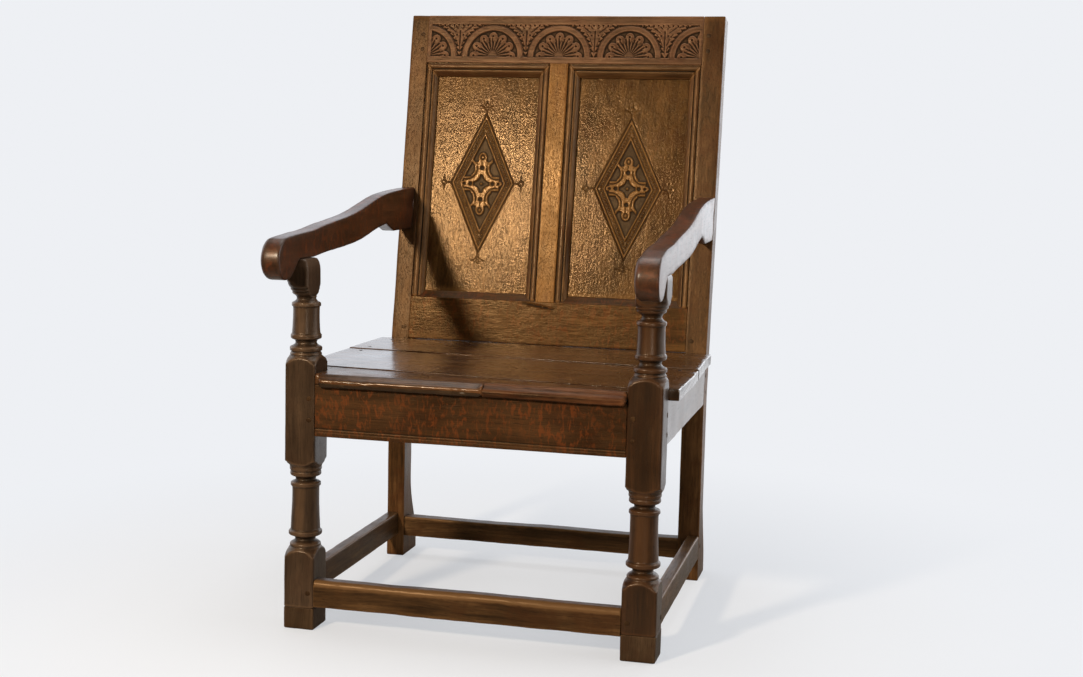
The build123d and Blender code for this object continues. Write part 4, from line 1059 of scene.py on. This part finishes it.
def arm_outline(nose, leg_top, drop):
    """Closed outline of an arm in (y, z): from the post along the top to the scroll, back below."""
    post = post_face(leg_top + 80)
    end, end_top = post + ARM_TENON_LONG, leg_top + ARM_REAR_RISE
    top = [(end, end_top)] + [(post * share, leg_top + rise) for share, rise in ARM_TOP]
    scroll = [(nose + ahead, leg_top + rise - drop) for ahead, rise in SCROLL]
    top_line = smooth_line(top + scroll + [(2.0, leg_top)], 3.0)
    on_leg = [(2 + 58 * s, leg_top) for s in (0.15, 0.3, 0.45, 0.6, 0.75, 0.9)]
    notch, spur = ((post - back, leg_top + rise) for back, rise in (NOTCH, SPUR))
    belly = [(60.0, leg_top)] + [(post * share, leg_top + rise) for share, rise in ARM_BELLY] + [notch]
    to_spur = [(notch[0] + (spur[0] - notch[0]) * s, notch[1] + (spur[1] - notch[1]) * s)
               for s in (0.12, 0.3, 0.5, 0.7, 0.88, 0.97)]
    to_end = [(spur[0] + 0.8 + (end - spur[0]) * s, spur[1] + 2 * s) for s in np.linspace(0, 1, 20)]
    end_foot = spur[1] + 2
    rear = [(end, end_foot + (end_top - end_foot) * s) for s in np.linspace(0, 1, 15)[1:-1]]
    line = np.array(top_line + on_leg + smooth_line(belly, 5.0) + to_spur + to_end + rear)
    line[:, 0] = np.minimum(line[:, 0], post_face(line[:, 1]) + 0.4)
    return line


def inside_of(line, spots):
    """Which spots lie inside a closed outline, and how far each is from it."""
    a, b = line, np.roll(line, -1, axis=0)
    py, pz = spots[:, 0][:, None], spots[:, 1][:, None]
    crossing = (a[:, 1] > pz) != (b[:, 1] > pz)
    rise = np.where(np.abs(b[:, 1] - a[:, 1]) < 1e-9, 1e-9, b[:, 1] - a[:, 1])
    hits = crossing & (py < a[:, 0] + (pz - a[:, 1]) * (b[:, 0] - a[:, 0]) / rise)
    away = np.hypot(py - a[:, 0], pz - a[:, 1]).min(axis=1)
    return hits.sum(axis=1) % 2 == 1, away


def face_net(line):
    """A net that fills a closed outline: points, their numbers on the outline or -1, and faces."""
    count = len(line)
    low, high = line.min(axis=0), line.max(axis=0)
    grid = np.meshgrid(*(np.arange(low[k], high[k], NET_SPACING) for k in (0, 1)))
    spots = np.stack(grid, axis=-1).reshape(-1, 2)
    within, away = inside_of(line, spots)
    spots = spots[within & (away > NET_CLEAR)]
    corners = [Vector(spot) for spot in np.concatenate([line, spots])]
    edges = [(i, (i + 1) % count) for i in range(count)]
    made, _, nets, origins, _, _ = delaunay_2d_cdt(corners, edges, [], 1, 1e-5)
    on_line = [origin[0] if origin and origin[0] < count else -1 for origin in origins]
    return made, on_line, nets


def sawn_slab(name, outline, faces_at, ease_at):
    """Timber sawn to an outline and rounded over, with a net that closes each face."""
    ahead = np.roll(outline, -1, axis=0) - np.roll(outline, 1, axis=0)
    ahead /= np.maximum(np.linalg.norm(ahead, axis=1, keepdims=True), 1e-6)
    turn = np.stack([-ahead[:, 1], ahead[:, 0]], axis=1)
    y, z = outline.T
    area = np.sum(y * np.roll(z, -1) - np.roll(y, -1) * z)
    inwards = turn if area > 0 else -turn
    inwards[y > post_face(z) - 0.5, 0] = 0
    outer, inner = faces_at(y)
    ease_outer, ease_inner = ease_at(y)
    across = np.sign(inner - outer)

    def rounded(face, ease, into, bend):
        inset = ease * (1 - math.sin(bend))
        return face + into * ease * (1 - math.cos(bend)), outline + inwards * inset[:, None]

    rings = [rounded(outer, ease_outer, across, bend) for bend in ROUNDING]
    first, last = outer + across * ease_outer, inner - across * ease_inner
    rings += [(first + (last - first) * share, outline) for share in np.linspace(0, 1, 6)[1:-1]]
    rings += [rounded(inner, ease_inner, -across, bend) for bend in ROUNDING[::-1]]
    points = [chair(x, line[:, 0], line[:, 1]) for x, line in rings]
    count = len(outline)
    faces = []
    for row in range(0, count * (len(rings) - 1), count):
        for i in range(count):
            j = (i + 1) % count
            faces.append((row + i, row + j, row + count + j, row + count + i))
    total = count * len(rings)
    for face, level in enumerate((0, len(rings) - 1)):
        made, on_line, nets = face_net(rings[level][1])
        number, added = [], []
        for spot, place in zip(made, on_line):
            if place >= 0:
                number.append(level * count + place)
            else:
                number.append(total + len(added))
                added.append(tuple(spot))
        faces += [tuple(number[k] for k in net) for net in nets]
        added = np.array(added)
        points.append(chair(faces_at(added[:, 0])[face], added[:, 0], added[:, 1]))
        total += len(added)
    mesh = bpy.data.meshes.new(name)
    mesh.from_pydata(np.concatenate(points).tolist(), [], faces)
    even = bmesh.new()
    even.from_mesh(mesh)
    bmesh.ops.recalc_face_normals(even, faces=even.faces)
    even.to_mesh(mesh)
    even.free()
    return mesh


arm_oak = old_oak("old_oak_arms", (0.1, 0.032, 0.012), (0.05, 0.0152, 0.006),
                  (0.019, 0.0066, 0.0032), along="Y", seed=14.0, gloss=0.3, shine=0.45, wax=0.6,
                  wax_dull=0.32, grime_and_shade=0.5, wear_and_highlight=0.3, fleck=0.85)
for side, shape in ARM_SHAPES.items():
    nose = (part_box(f"arm_{side}")[0][1] - front_y) / MM
    outline = arm_outline(nose + 0.1, LEG_SHAPES[side]["top"], shape["drop"])
    reach = POST_X_AT - nose

    def from_front(share, pairs):
        return tuple(front + share * (rear - front) for front, rear in pairs)

    def arm_faces(y):
        return from_front((y - nose) / reach, zip(shape["nose_x"], shape["post_x"]))

    def arm_easing(y):
        return from_front(step_up(y, -45, 40), shape["ease"])

    mesh = sawn_slab(f"arm_{side}_sawn", outline, arm_faces, arm_easing)
    wear_and_fit(mesh, [f"arm_{side}"], arm_oak,
                 wear=(0.45, 0.06, 81 if side == "left" else 82), rounds=6)


# ------------------------------------------------------------------------------------------------
# Seat.  Three wide oak boards nailed across the rails, with slanting joints.  The front edge is
# rounded, ragged with wear at the left, and made good at the right with a let-in strip.
# ------------------------------------------------------------------------------------------------
SEAT_EDGE = 333.0                                     # half the seat's width
NOSING = 11.0                                         # front edge ahead of the legs' faces
PATCH_START, PATCH_BACK = 25.0, 8.0                   # left end and rear edge of the let-in strip
FRONT_BOARD_TOP = SEAT_TOP - 2.0                      # each board lies a little lower than the next
MIDDLE_BOARD_TOP = SEAT_TOP - 1.0
JOINT_FRONT, JOINT_BACK = (100.0, 34.0), (340.0, 299.0)      # y of the joints' left and right ends
JOINT_GAP = 1.3                                       # each board stops this far from the joint's line
NOTCH_CLEAR = 0.3                                     # notches clear the legs and posts by this
BACK_EDGE = 540.0
seat_oak = old_oak("old_oak_seat", (0.125, 0.053, 0.0185), (0.06, 0.0255, 0.0094),
                   (0.023, 0.0103, 0.0043), along="X", seed=15.0, gloss=0.24, shine=0.5, wax=1.0,
                   wax_dull=0.185, dusty=0.22, waves=0.3, streaks=1.2, wear_and_highlight=0.3)
edge_oak = old_oak("old_oak_seat_front", (0.15, 0.06, 0.02), (0.074, 0.029, 0.01),
                   (0.03, 0.0125, 0.005), along="X", seed=15.4, gloss=0.25, shine=0.5, wax=0.35,
                   wax_dull=0.22, dusty=0.2, bumpy=0.32, waves=0.3, streaks=1.2, wear_and_highlight=0.3)
patch_oak = old_oak("old_oak_patch", (0.17, 0.067, 0.027), (0.088, 0.034, 0.0135),
                    (0.03, 0.0118, 0.0052), along="X", seed=16.0, shine=0.2, streaks=1.6, grime_and_shade=0.5,
                    wear_and_highlight=0.5)


def joint(ends, x):
    """y of a slanting board joint."""
    return ends[0] + (x + SEAT_EDGE) / (2 * SEAT_EDGE) * (ends[1] - ends[0])


notch_behind = {side: back + NOTCH_CLEAR for side, back in leg_back.items()}
notch_before_posts = post_face(SEAT_UNDER) - NOTCH_CLEAR
step_left, step_right = leg_x0 + NOTCH_CLEAR, leg_x1 - NOTCH_CLEAR
post_step_left, post_step_right = post_x0 - NOTCH_CLEAR, post_x1 + NOTCH_CLEAR


def stepped(low, high, spacing, breaks):
    """Stations with a close pair at each break, so that a notch keeps its square corner."""
    lines = np.arange(low, high, spacing).tolist() + [high]
    for spot in breaks:
        lines = [v for v in lines if abs(v - spot) > spacing * 0.4] + [spot - 0.05, spot + 0.05]
    return np.array(sorted(lines))


NOSE_START = step_left + 6.5                          # the front edge is rounded off beside the leg
NOSE_ROUND = 9.0


def front_board_sides(t):
    """Front edge behind the left leg, then rounded nosing, then straight behind the let-in strip."""
    rounded = np.sqrt(1 - np.clip((NOSE_START + NOSE_ROUND - t) / NOSE_ROUND, 0, 1) ** 2)
    nose = np.where(t < PATCH_START, 1 - (NOSING + 1) * rounded, PATCH_BACK + 0.1)
    front = np.where(t < step_left, notch_behind["left"], nose)
    return front, joint(JOINT_FRONT, t) - JOINT_GAP, SEAT_UNDER, FRONT_BOARD_TOP


def front_board_corners(t):
    """Arrises of the front board, rounder along the nosing."""
    nose = (t > step_left) & (t < PATCH_START)
    return np.where(nose, 3.6, 0.8), 0.8, 1.5, np.where(nose, 5.0, 0.8)


def middle_board_sides(t):
    """The middle board, notched round the right leg, where the front board has tapered away."""
    joint_line = joint(JOINT_FRONT, t)
    behind_leg = np.maximum(notch_behind["right"], joint_line)
    front = np.where(t > step_right, behind_leg, joint_line + JOINT_GAP)
    return front, joint(JOINT_BACK, t) - JOINT_GAP, SEAT_UNDER, MIDDLE_BOARD_TOP


def back_board_sides(t):
    """The back board, notched round both posts."""
    back = np.where((t < post_step_left) | (t > post_step_right), notch_before_posts, BACK_EDGE)
    return joint(JOINT_BACK, t) + JOINT_GAP, back, SEAT_UNDER, SEAT_TOP


def undercut(mesh, joint_ends, top):
    """Leans the upper part of a board's front edge back, so that its joint stays in shadow."""
    places = corners_of(mesh)
    x, y, z = in_chair(places)
    in_front = 1 - step_up(y - joint(joint_ends, x), 2.5, 5)
    places[:, 1] += 1.8 * in_front * np.clip((top - 0.35 - z) / 5, 0, 1) * MM
    move_to(mesh, places)


def worn_end(mesh, seed):
    """Tapers the boards' right ends towards the back and wears their arris away."""
    places = corners_of(mesh)
    x, y, z = in_chair(places)
    near = step_up(x, SEAT_EDGE - 60, SEAT_EDGE)
    bites = np.maximum(0, ripple(places, 0.03, seed))
    bites += 0.8 * np.maximum(0, ripple(places, 0.009, seed + 1))
    top = step_up(z, SEAT_UNDER + 6, SEAT_TOP - 1)
    places[:, 0] -= near * (9.5 * step_up(y, 200, 500) + 2.0 * bites * (0.4 + top)) * MM
    places[:, 2] -= step_up(x, SEAT_EDGE - 7, SEAT_EDGE) * top * (0.8 + 2.2 * bites) * MM
    move_to(mesh, places)


NOSING_SLOPE, PATCH_SLOPE = 0.24, 0.2                 # how much they fall towards the front, worn down


def ragged_nosing(mesh):
    """Wears the left part of the seat's front edge away, unevenly."""
    places = corners_of(mesh)
    x, y, z = in_chair(places)
    near = step_up(14 - y, 0, 20) * step_up(PATCH_START - 2 - x, 0, 6) * step_up(x - step_left, 0, 10)
    bites = 0.6 * np.maximum(0, ripple(places * (1, 0.4, 1.6), 0.021, 91) + 0.15)
    bites += 0.8 * np.maximum(0, ripple(places, 0.0065, 92))
    top = step_up(z, SEAT_UNDER + 4, SEAT_TOP - 3)
    places[:, 1] += near * bites * (2.4 - 1.6 * top) * MM
    places[:, 2] -= near * (top * bites * 0.5 * step_up(6 - y, 0, 10) + 3.0 * step_up(3 - y, 0, 8)) * MM
    slope = np.clip(5 - y, 0, 16) * NOSING_SLOPE * step_up(z, SEAT_UNDER + 5, FRONT_BOARD_TOP)
    places[:, 2] -= slope * step_up(PATCH_START + 4 - x, 0, 8) * step_up(x - step_left, 0, 6) * MM
    move_to(mesh, places)


def nosing_shade_and_glint(mesh):
    """Painted shade on the slope that wear has left on the nosing and under its lower edge, and a painted
    golden highlight along that edge.
    """
    layer = mesh.attributes["relief"].data
    relief = np.empty(len(mesh.vertices))
    layer.foreach_get("value", relief)
    places = corners_of(mesh)
    x, y, z = in_chair(places)
    near = step_up(8 - y, 0, 6) * step_up(PATCH_START + 2 - x, 0, 5) * step_up(x - step_left - 2, 0, 6)
    # painted highlight: a golden line where the lamp glints on the nosing's lower edge
    line_at = SEAT_UNDER + 6.5 + 1.6 * ripple(places * (1, 0, 0), 0.03, 98)
    rubbed_and_glint = line_across(z, line_at, 1.9) * step_up(2 - y, 0, 5)
    # painted shade: a darker band above that line, and darker still below it where the underside is in shadow
    painted_shade = np.where(z > line_at, -0.27, -0.6) + 0.1 * ripple(places, 0.012, 99)
    relief += near * (painted_shade - relief) * (1 - rubbed_and_glint) + near * rubbed_and_glint * (0.7 - relief)
    layer.foreach_set("value", relief)


mesh = bar("seat_board_front_board", "X",
           stepped(-SEAT_EDGE, step_right - SHY, 2.5, (step_left, NOSE_START, PATCH_START)),
           front_board_sides, corner=front_board_corners, spacing=(3.0, 3.0), ends=(1.5, 0.5), arc=4)
weather(mesh, 0.3, 0.09, 93)
ragged_nosing(mesh)
note_relief(mesh, 8)
nosing_shade_and_glint(mesh)
fit(mesh, ["seat_board_front"], edge_oak)
for board, sides, breaks, rear_arris, joint_ends, top, seed in (
        ("middle", middle_board_sides, (step_right,), 1.5, JOINT_FRONT, MIDDLE_BOARD_TOP, 94),
        ("back", back_board_sides, (post_step_left, post_step_right), 1.0, JOINT_BACK, SEAT_TOP, 95)):
    mesh = bar(f"seat_board_{board}_board", "X", stepped(-SEAT_EDGE, SEAT_EDGE, 8.0, breaks), sides,
               corner=(0.8, 0.8, rear_arris, 0.35), spacing=(7.0, 6.0), ends=(1.8, 1.8))
    weather(mesh, 0.35, 0.1, seed)
    undercut(mesh, joint_ends, top)
    worn_end(mesh, 97)
    note_relief(mesh, 5)
    fit(mesh, [f"seat_board_{board}"], seat_oak)
mesh = bar("seat_nosing_patch_strip", "X", [*np.arange(PATCH_START + 0.1, step_right, 4.0), step_right - 0.1],
           lambda t: (-NOSING, PATCH_BACK, SEAT_UNDER, FRONT_BOARD_TOP - SHY),
           corner=(5.0, 0.8, 0.8, 9.0), spacing=(3.0, 3.0), ends=(0.6, 6.0), arc=6)
weather(mesh, 0.3, 0.05, 96)
places = corners_of(mesh)
x, y, z = in_chair(places)
lip = step_up(2 - y, 0, 6) * (2.6 + 1.4 * step_up(x, PATCH_START, step_right))
slope = np.clip(7 - y, 0, 18) * PATCH_SLOPE * step_up(z, SEAT_UNDER + 5, SEAT_TOP)
places[:, 2] -= (lip + slope) * MM
move_to(mesh, places)
note_relief(mesh, 5)
fit(mesh, ["seat_nosing_patch"], patch_oak)


# ------------------------------------------------------------------------------------------------
# Pegs and nails.  Riven oak pegs, tapered and a little out of round, are driven through each
# joint and stand slightly proud; the seat boards are held by hand-made iron nails.
# ------------------------------------------------------------------------------------------------
PEG_RADIUS, PEG_LONG, PEG_PROUD = 4.4, 20.0, 0.5
PEG_INSET = 10.5                                      # behind the joint's shoulder
NAIL_RADIUS, NAIL_LONG, NAIL_PROUD = 3.2, 30.0, 0.3
FRONT_PEG_HEIGHTS = (393.0, 357.0)                    # at both ends of the front rail
SIDE_PEG_HEIGHTS = (363.0, 395.0)                     # at both ends of a side rail
FRONT_STRETCHER_PEG, SIDE_STRETCHER_PEG = 63.0, 64.5  # heights
POST_PEG_LINE = 530.5                                 # y of the pegs in a post's outer face
BACK_PEG_RUNS = (BACK_RUN - 38, BACK_RUN - 68, 94.0)  # two for the crest rail, one for the bottom rail
NAIL_LINE = 300.0                                     # over the side rails
FROM_JOINT = 24.0                                     # nails from the boards' joints
FIRST_NAIL_MORE = 20.0                                # the foremost ones lie farther back by this
PIN_SIDES = 14


def driven(name, heads, long, radius, proud, seed):
    """One mesh of round pins driven in at (place, direction outwards) in the chair's millimetres."""
    levels = ((-long, 0.92), (-1.0, 0.97), (proud * 0.5, 0.97), (proud, 0.8), (proud * 1.25, 0.4))
    spins = np.linspace(0, 2 * math.pi, PIN_SIDES, endpoint=False)
    points, faces = [], []
    for k, (centre, outwards) in enumerate(heads):
        centre, outwards = np.array(centre, dtype=float), np.array(outwards, dtype=float)
        outwards /= np.linalg.norm(outwards)
        side_way = np.cross(outwards, (0, 0, 1) if abs(outwards[2]) < 0.9 else (0, 1, 0))
        side_way /= np.linalg.norm(side_way)
        other_way = np.cross(outwards, side_way)
        wobble = 1 + 0.06 * np.sin(2 * spins + k * 2.1 + seed) + 0.04 * np.sin(3 * spins + k * 1.3)
        first = len(points)
        for out, share in levels:
            for spin, size in zip(spins, radius * share * wobble):
                ray = (math.cos(spin) * side_way + math.sin(spin) * other_way) * size
                points.append(chair(*(centre + ray + outwards * out)))
        last = len(points) - PIN_SIDES
        for row in range(first, last, PIN_SIDES):
            above = row + PIN_SIDES
            for i in range(PIN_SIDES):
                j = (i + 1) % PIN_SIDES
                faces.append((row + i, row + j, above + j, above + i))
        faces.append(tuple(range(first, first + PIN_SIDES))[::-1])
        faces.append(tuple(range(last, last + PIN_SIDES)))
    mesh = bpy.data.meshes.new(name)
    mesh.from_pydata([tuple(p) for p in points], [], faces)
    mesh.update()
    layer = mesh.attributes.new("relief", "FLOAT", "POINT")
    layer.data.foreach_set("value", [0.05] * len(points))
    return mesh


def forged_iron(name):
    """Nearly black wrought iron, rusted brown in patches."""
    material = bpy.data.materials.new(name)
    material.use_nodes = True
    tree = material.node_tree
    shader = tree.nodes["Principled BSDF"]
    rust = add_node(tree, "ShaderNodeTexNoise", Scale=420.0)
    where = add_node(tree, "ShaderNodeTexCoord")
    tree.links.new(where.outputs["Object"], rust.inputs["Vector"])
    colour = blend(tree, rust.outputs["Fac"], (0.012, 0.0105, 0.0098), (0.04, 0.02, 0.011))
    tree.links.new(colour, shader.inputs["Base Color"])
    shader.inputs["Metallic"].default_value = 0.5
    shader.inputs["Roughness"].default_value = 0.55
    return material


peg_oak = old_oak("old_oak_pegs", (0.08, 0.038, 0.0145), (0.04, 0.019, 0.0076),
                  (0.018, 0.0088, 0.004), seed=17.0, gloss=0.45, wear_and_highlight=0.5)
OUT = {"left": (-1, 0, 0), "right": (1, 0, 0)}
FORWARD = (0, -1, 0)
RAKED_OUT = (0, -math.cos(RAKE), math.sin(RAKE))
in_leg = {"left": leg_x0 - PEG_INSET, "right": leg_x1 + PEG_INSET}
in_post = {"left": post_x0 - PEG_INSET, "right": post_x1 + PEG_INSET}
groups = {"pegs_front_rail": [], "pegs_stretchers": [], "pegs_side_rails": [], "pegs_back": []}
for side, outer_side in (("left", 0), ("right", 1)):
    outer_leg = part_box(f"front_leg_{side}")[outer_side][0] / MM
    outer_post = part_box(f"back_post_{side}")[outer_side][0] / MM
    for height in FRONT_PEG_HEIGHTS:
        groups["pegs_front_rail"].append(((in_leg[side], 0, height), FORWARD))
    groups["pegs_stretchers"].append(((in_leg[side], 0, FRONT_STRETCHER_PEG), FORWARD))
    for y, outer in ((leg_back[side] - PEG_INSET, outer_leg), (POST_PEG_LINE, outer_post)):
        for height in SIDE_PEG_HEIGHTS:
            groups["pegs_side_rails"].append(((outer, y, height), OUT[side]))
        groups["pegs_stretchers"].append(((outer, y, SIDE_STRETCHER_PEG), OUT[side]))
    for run in BACK_PEG_RUNS:
        groups["pegs_back"].append((raked(in_post[side], 0, run), RAKED_OUT))
for k, (group, heads) in enumerate(groups.items()):
    fit(driven(f"{group}_oak", heads, PEG_LONG, PEG_RADIUS, PEG_PROUD, k), [group], peg_oak)

heads = []
for x in (-NAIL_LINE, NAIL_LINE):
    joint_y = joint(JOINT_BACK, x)
    for y, top in ((joint(JOINT_FRONT, x) + FROM_JOINT + FIRST_NAIL_MORE, MIDDLE_BOARD_TOP),
                   (joint_y - FROM_JOINT, MIDDLE_BOARD_TOP),
                   (joint_y + FROM_JOINT, SEAT_TOP),
                   (SETBACK - FROM_JOINT, SEAT_TOP)):
        heads.append(((x, y, top), (0, 0, 1)))
mesh = driven("seat_nails_iron", heads, NAIL_LONG, NAIL_RADIUS, NAIL_PROUD, 9)
fit(mesh, ["seat_nails"], forged_iron("forged_iron"))


# ------------------------------------------------------------------------------------------------
# Studio.  A pale paper floor that fades into the backdrop, a small warm lamp to the left and a
# little above, soft white light from behind and from the sides, and the camera.
# ------------------------------------------------------------------------------------------------
BACKDROP = (0.855, 0.871, 0.904)
FLOOR_REACH = 14.0                                    # metres from the chair to the floor's edges
PAPER, DIM_PAPER = (0.84, 0.85, 0.87, 1), (0.42, 0.39, 0.35, 1)
DARK_ROOM, BRIGHT_WALL = (0.02, 0.017, 0.014), (0.92, 0.94, 0.98)
DARK_SIDE, BRIGHT_SIDE = (0.14, 0.13, 0.12), (0.36, 0.37, 0.39)
MIRRORED_DARK, MIRRORED_BRIGHT = (0.03, 0.025, 0.02), (0.95, 0.99, 1.07)


def fade(tree, value, start, end, low=0.0, high=1.0):
    """Smooth change from low to high as a value goes from start to end."""
    made = add_node(tree, "ShaderNodeMapRange", interpolation_type="SMOOTHSTEP")
    for name, number in (("From Min", start), ("From Max", end), ("To Min", low), ("To Max", high)):
        made.inputs[name].default_value = number
    tree.links.new(value, made.inputs["Value"])
    return made.outputs["Result"]


def join(tree, share, first, second):
    """Shader that goes from the first to the second as share goes from 0 to 1."""
    made = add_node(tree, "ShaderNodeMixShader")
    for socket, value in zip(made.inputs, (share, first, second)):
        tree.links.new(value, socket)
    return made.outputs[0]


def glow(tree, colour, kind="ShaderNodeEmission"):
    """Light of one colour, or of the colour that a socket gives."""
    made = add_node(tree, kind)
    if isinstance(colour, tuple):
        made.inputs["Color"].default_value = (*colour, 1)
    else:
        tree.links.new(colour, made.inputs["Color"])
    return made.outputs[0]


# The floor keeps the chair's shadow and is lost in the backdrop farther off.  The room in front of
# the chair is dim, so what the chair mirrors there is dark.
mesh = bpy.data.meshes.new("studio_floor")
mesh.from_pydata([(x * FLOOR_REACH, y * FLOOR_REACH, 0) for x, y in ((-1, -1), (1, -1), (1, 1), (-1, 1))],
                 [], [(0, 1, 2, 3)])
floor = bpy.data.objects.new("studio_floor", mesh)
bpy.context.scene.collection.objects.link(floor)
floor_paper = bpy.data.materials.new("backdrop_paper")
floor_paper.use_nodes = True
tree = floor_paper.node_tree
paper = tree.nodes["Principled BSDF"]
paper.inputs["Base Color"].default_value = PAPER
paper.inputs["Roughness"].default_value = 0.9
paper.inputs["Specular IOR Level"].default_value = 0.1
dim = add_node(tree, "ShaderNodeBsdfDiffuse", Color=DIM_PAPER)
where = add_node(tree, "ShaderNodeTexCoord").outputs["Object"]
away = add_node(tree, "ShaderNodeVectorMath", operation="LENGTH")
split = add_node(tree, "ShaderNodeSeparateXYZ")
tree.links.new(where, away.inputs[0])
tree.links.new(where, split.inputs[0])
distance = away.outputs["Value"]
room = blend(tree, fade(tree, split.outputs["Y"], -0.3, 0.9), DARK_ROOM, BRIGHT_WALL)
seen = join(tree, fade(tree, distance, 0.4, 1.45, 0.55, 1.0), paper.outputs[0], glow(tree, BACKDROP))
mirrored = join(tree, fade(tree, distance, 0.5, 1.3), dim.outputs[0], glow(tree, room))
rays = add_node(tree, "ShaderNodeLightPath")
surface = join(tree, rays.outputs["Is Camera Ray"], mirrored, seen)
tree.links.new(surface, tree.nodes["Material Output"].inputs["Surface"])
mesh.materials.append(floor_paper)

# The world lights the chair softly, more from behind; its wax mirrors a bright low wall behind it.
world = bpy.data.worlds.new("studio_light")
bpy.context.scene.world = world
world.use_nodes = True
tree = world.node_tree
tree.nodes.clear()
split = add_node(tree, "ShaderNodeSeparateXYZ")
tree.links.new(add_node(tree, "ShaderNodeTexCoord").outputs["Generated"], split.inputs[0])
behind = fade(tree, split.outputs["Y"], -0.6, 0.5)
low_behind = add_node(tree, "ShaderNodeMath", operation="MULTIPLY")
tree.links.new(behind, low_behind.inputs[0])
tree.links.new(fade(tree, split.outputs["Z"], 0.85, 0.4), low_behind.inputs[1])
shade = blend(tree, behind, DARK_SIDE, BRIGHT_SIDE)
gleam = blend(tree, low_behind.outputs[0], MIRRORED_DARK, MIRRORED_BRIGHT)
rays = add_node(tree, "ShaderNodeLightPath")
lit, mirrored, seen = (glow(tree, colour, "ShaderNodeBackground") for colour in (shade, gleam, BACKDROP))
unseen = join(tree, rays.outputs["Is Glossy Ray"], lit, mirrored)
sky = join(tree, rays.outputs["Is Camera Ray"], unseen, seen)
tree.links.new(sky, add_node(tree, "ShaderNodeOutputWorld").inputs["Surface"])


def lamp(name, place, towards, size, power, colour, size_y=None):
    """Soft lamp at a place, turned towards another, both in the chair's millimetres.

    Its size is a disk's, or a rectangle's with size_y, in metres.
    """
    light = bpy.data.lights.new(name, "AREA")
    light.shape = "RECTANGLE" if size_y else "DISK"
    light.size = size
    if size_y:
        light.size_y = size_y
    light.energy = power
    light.color = colour
    fixture = bpy.data.objects.new(name, light)
    start, end = Vector(chair(*place)), Vector(chair(*towards))
    fixture.rotation_euler = (end - start).to_track_quat("-Z", "Y").to_euler()
    fixture.location = start
    fixture.visible_camera = False
    bpy.context.scene.collection.objects.link(fixture)


lamp("key_lamp", (-985, -2180, 1560), (-60, 560, 700), 0.24, 64.0, (1.0, 0.84, 0.64))
lamp("top_light", (-100, 600, 2600), (0, 200, 400), 1.8, 22.0, (0.95, 0.98, 1.0), 1.4)
lamp("right_light", (2300, 500, 1400), (0, 200, 500), 1.6, 24.0, (0.93, 0.97, 1.0), 1.6)
lamp("fill_light", (950, -2300, 700), (-100, 100, 500), 0.8, 10.0, (1.0, 0.93, 0.84))
lamp("window_light", (1500, 4200, 1300), (200, 200, 500), 2.2, 15.0, (0.9, 0.95, 1.0))
lamp("left_light", (-2300, 700, 1300), (0, 200, 500), 1.4, 8.0, (0.95, 0.98, 1.0), 1.6)

YAW, PITCH, ROLL = math.radians(13.2302), math.radians(-6.3054), math.radians(-1.4098)
CAMERA_PLACE = (684.757, -2349.295, 796.130)
turns = ((ROLL, "Y"), (PITCH, "X"), (YAW, "Z"))
roll, pitch, yaw = (Matrix.Rotation(-angle, 3, axis) for angle, axis in turns)
right, forward, up = roll @ pitch @ yaw
lens = bpy.data.cameras.new("camera")
lens.sensor_width = 36.0
lens.lens = 51.055
lens.shift_x, lens.shift_y = -0.00806, -0.00916
lens.clip_start = 0.05
camera = bpy.data.objects.new("camera", lens)
pose = Matrix((right, up, -forward)).transposed().to_4x4()
pose.translation = Vector(chair(*CAMERA_PLACE))
camera.matrix_world = pose
bpy.context.scene.collection.objects.link(camera)
bpy.context.scene.camera = camera
bpy.context.scene.view_settings.view_transform = "Standard"
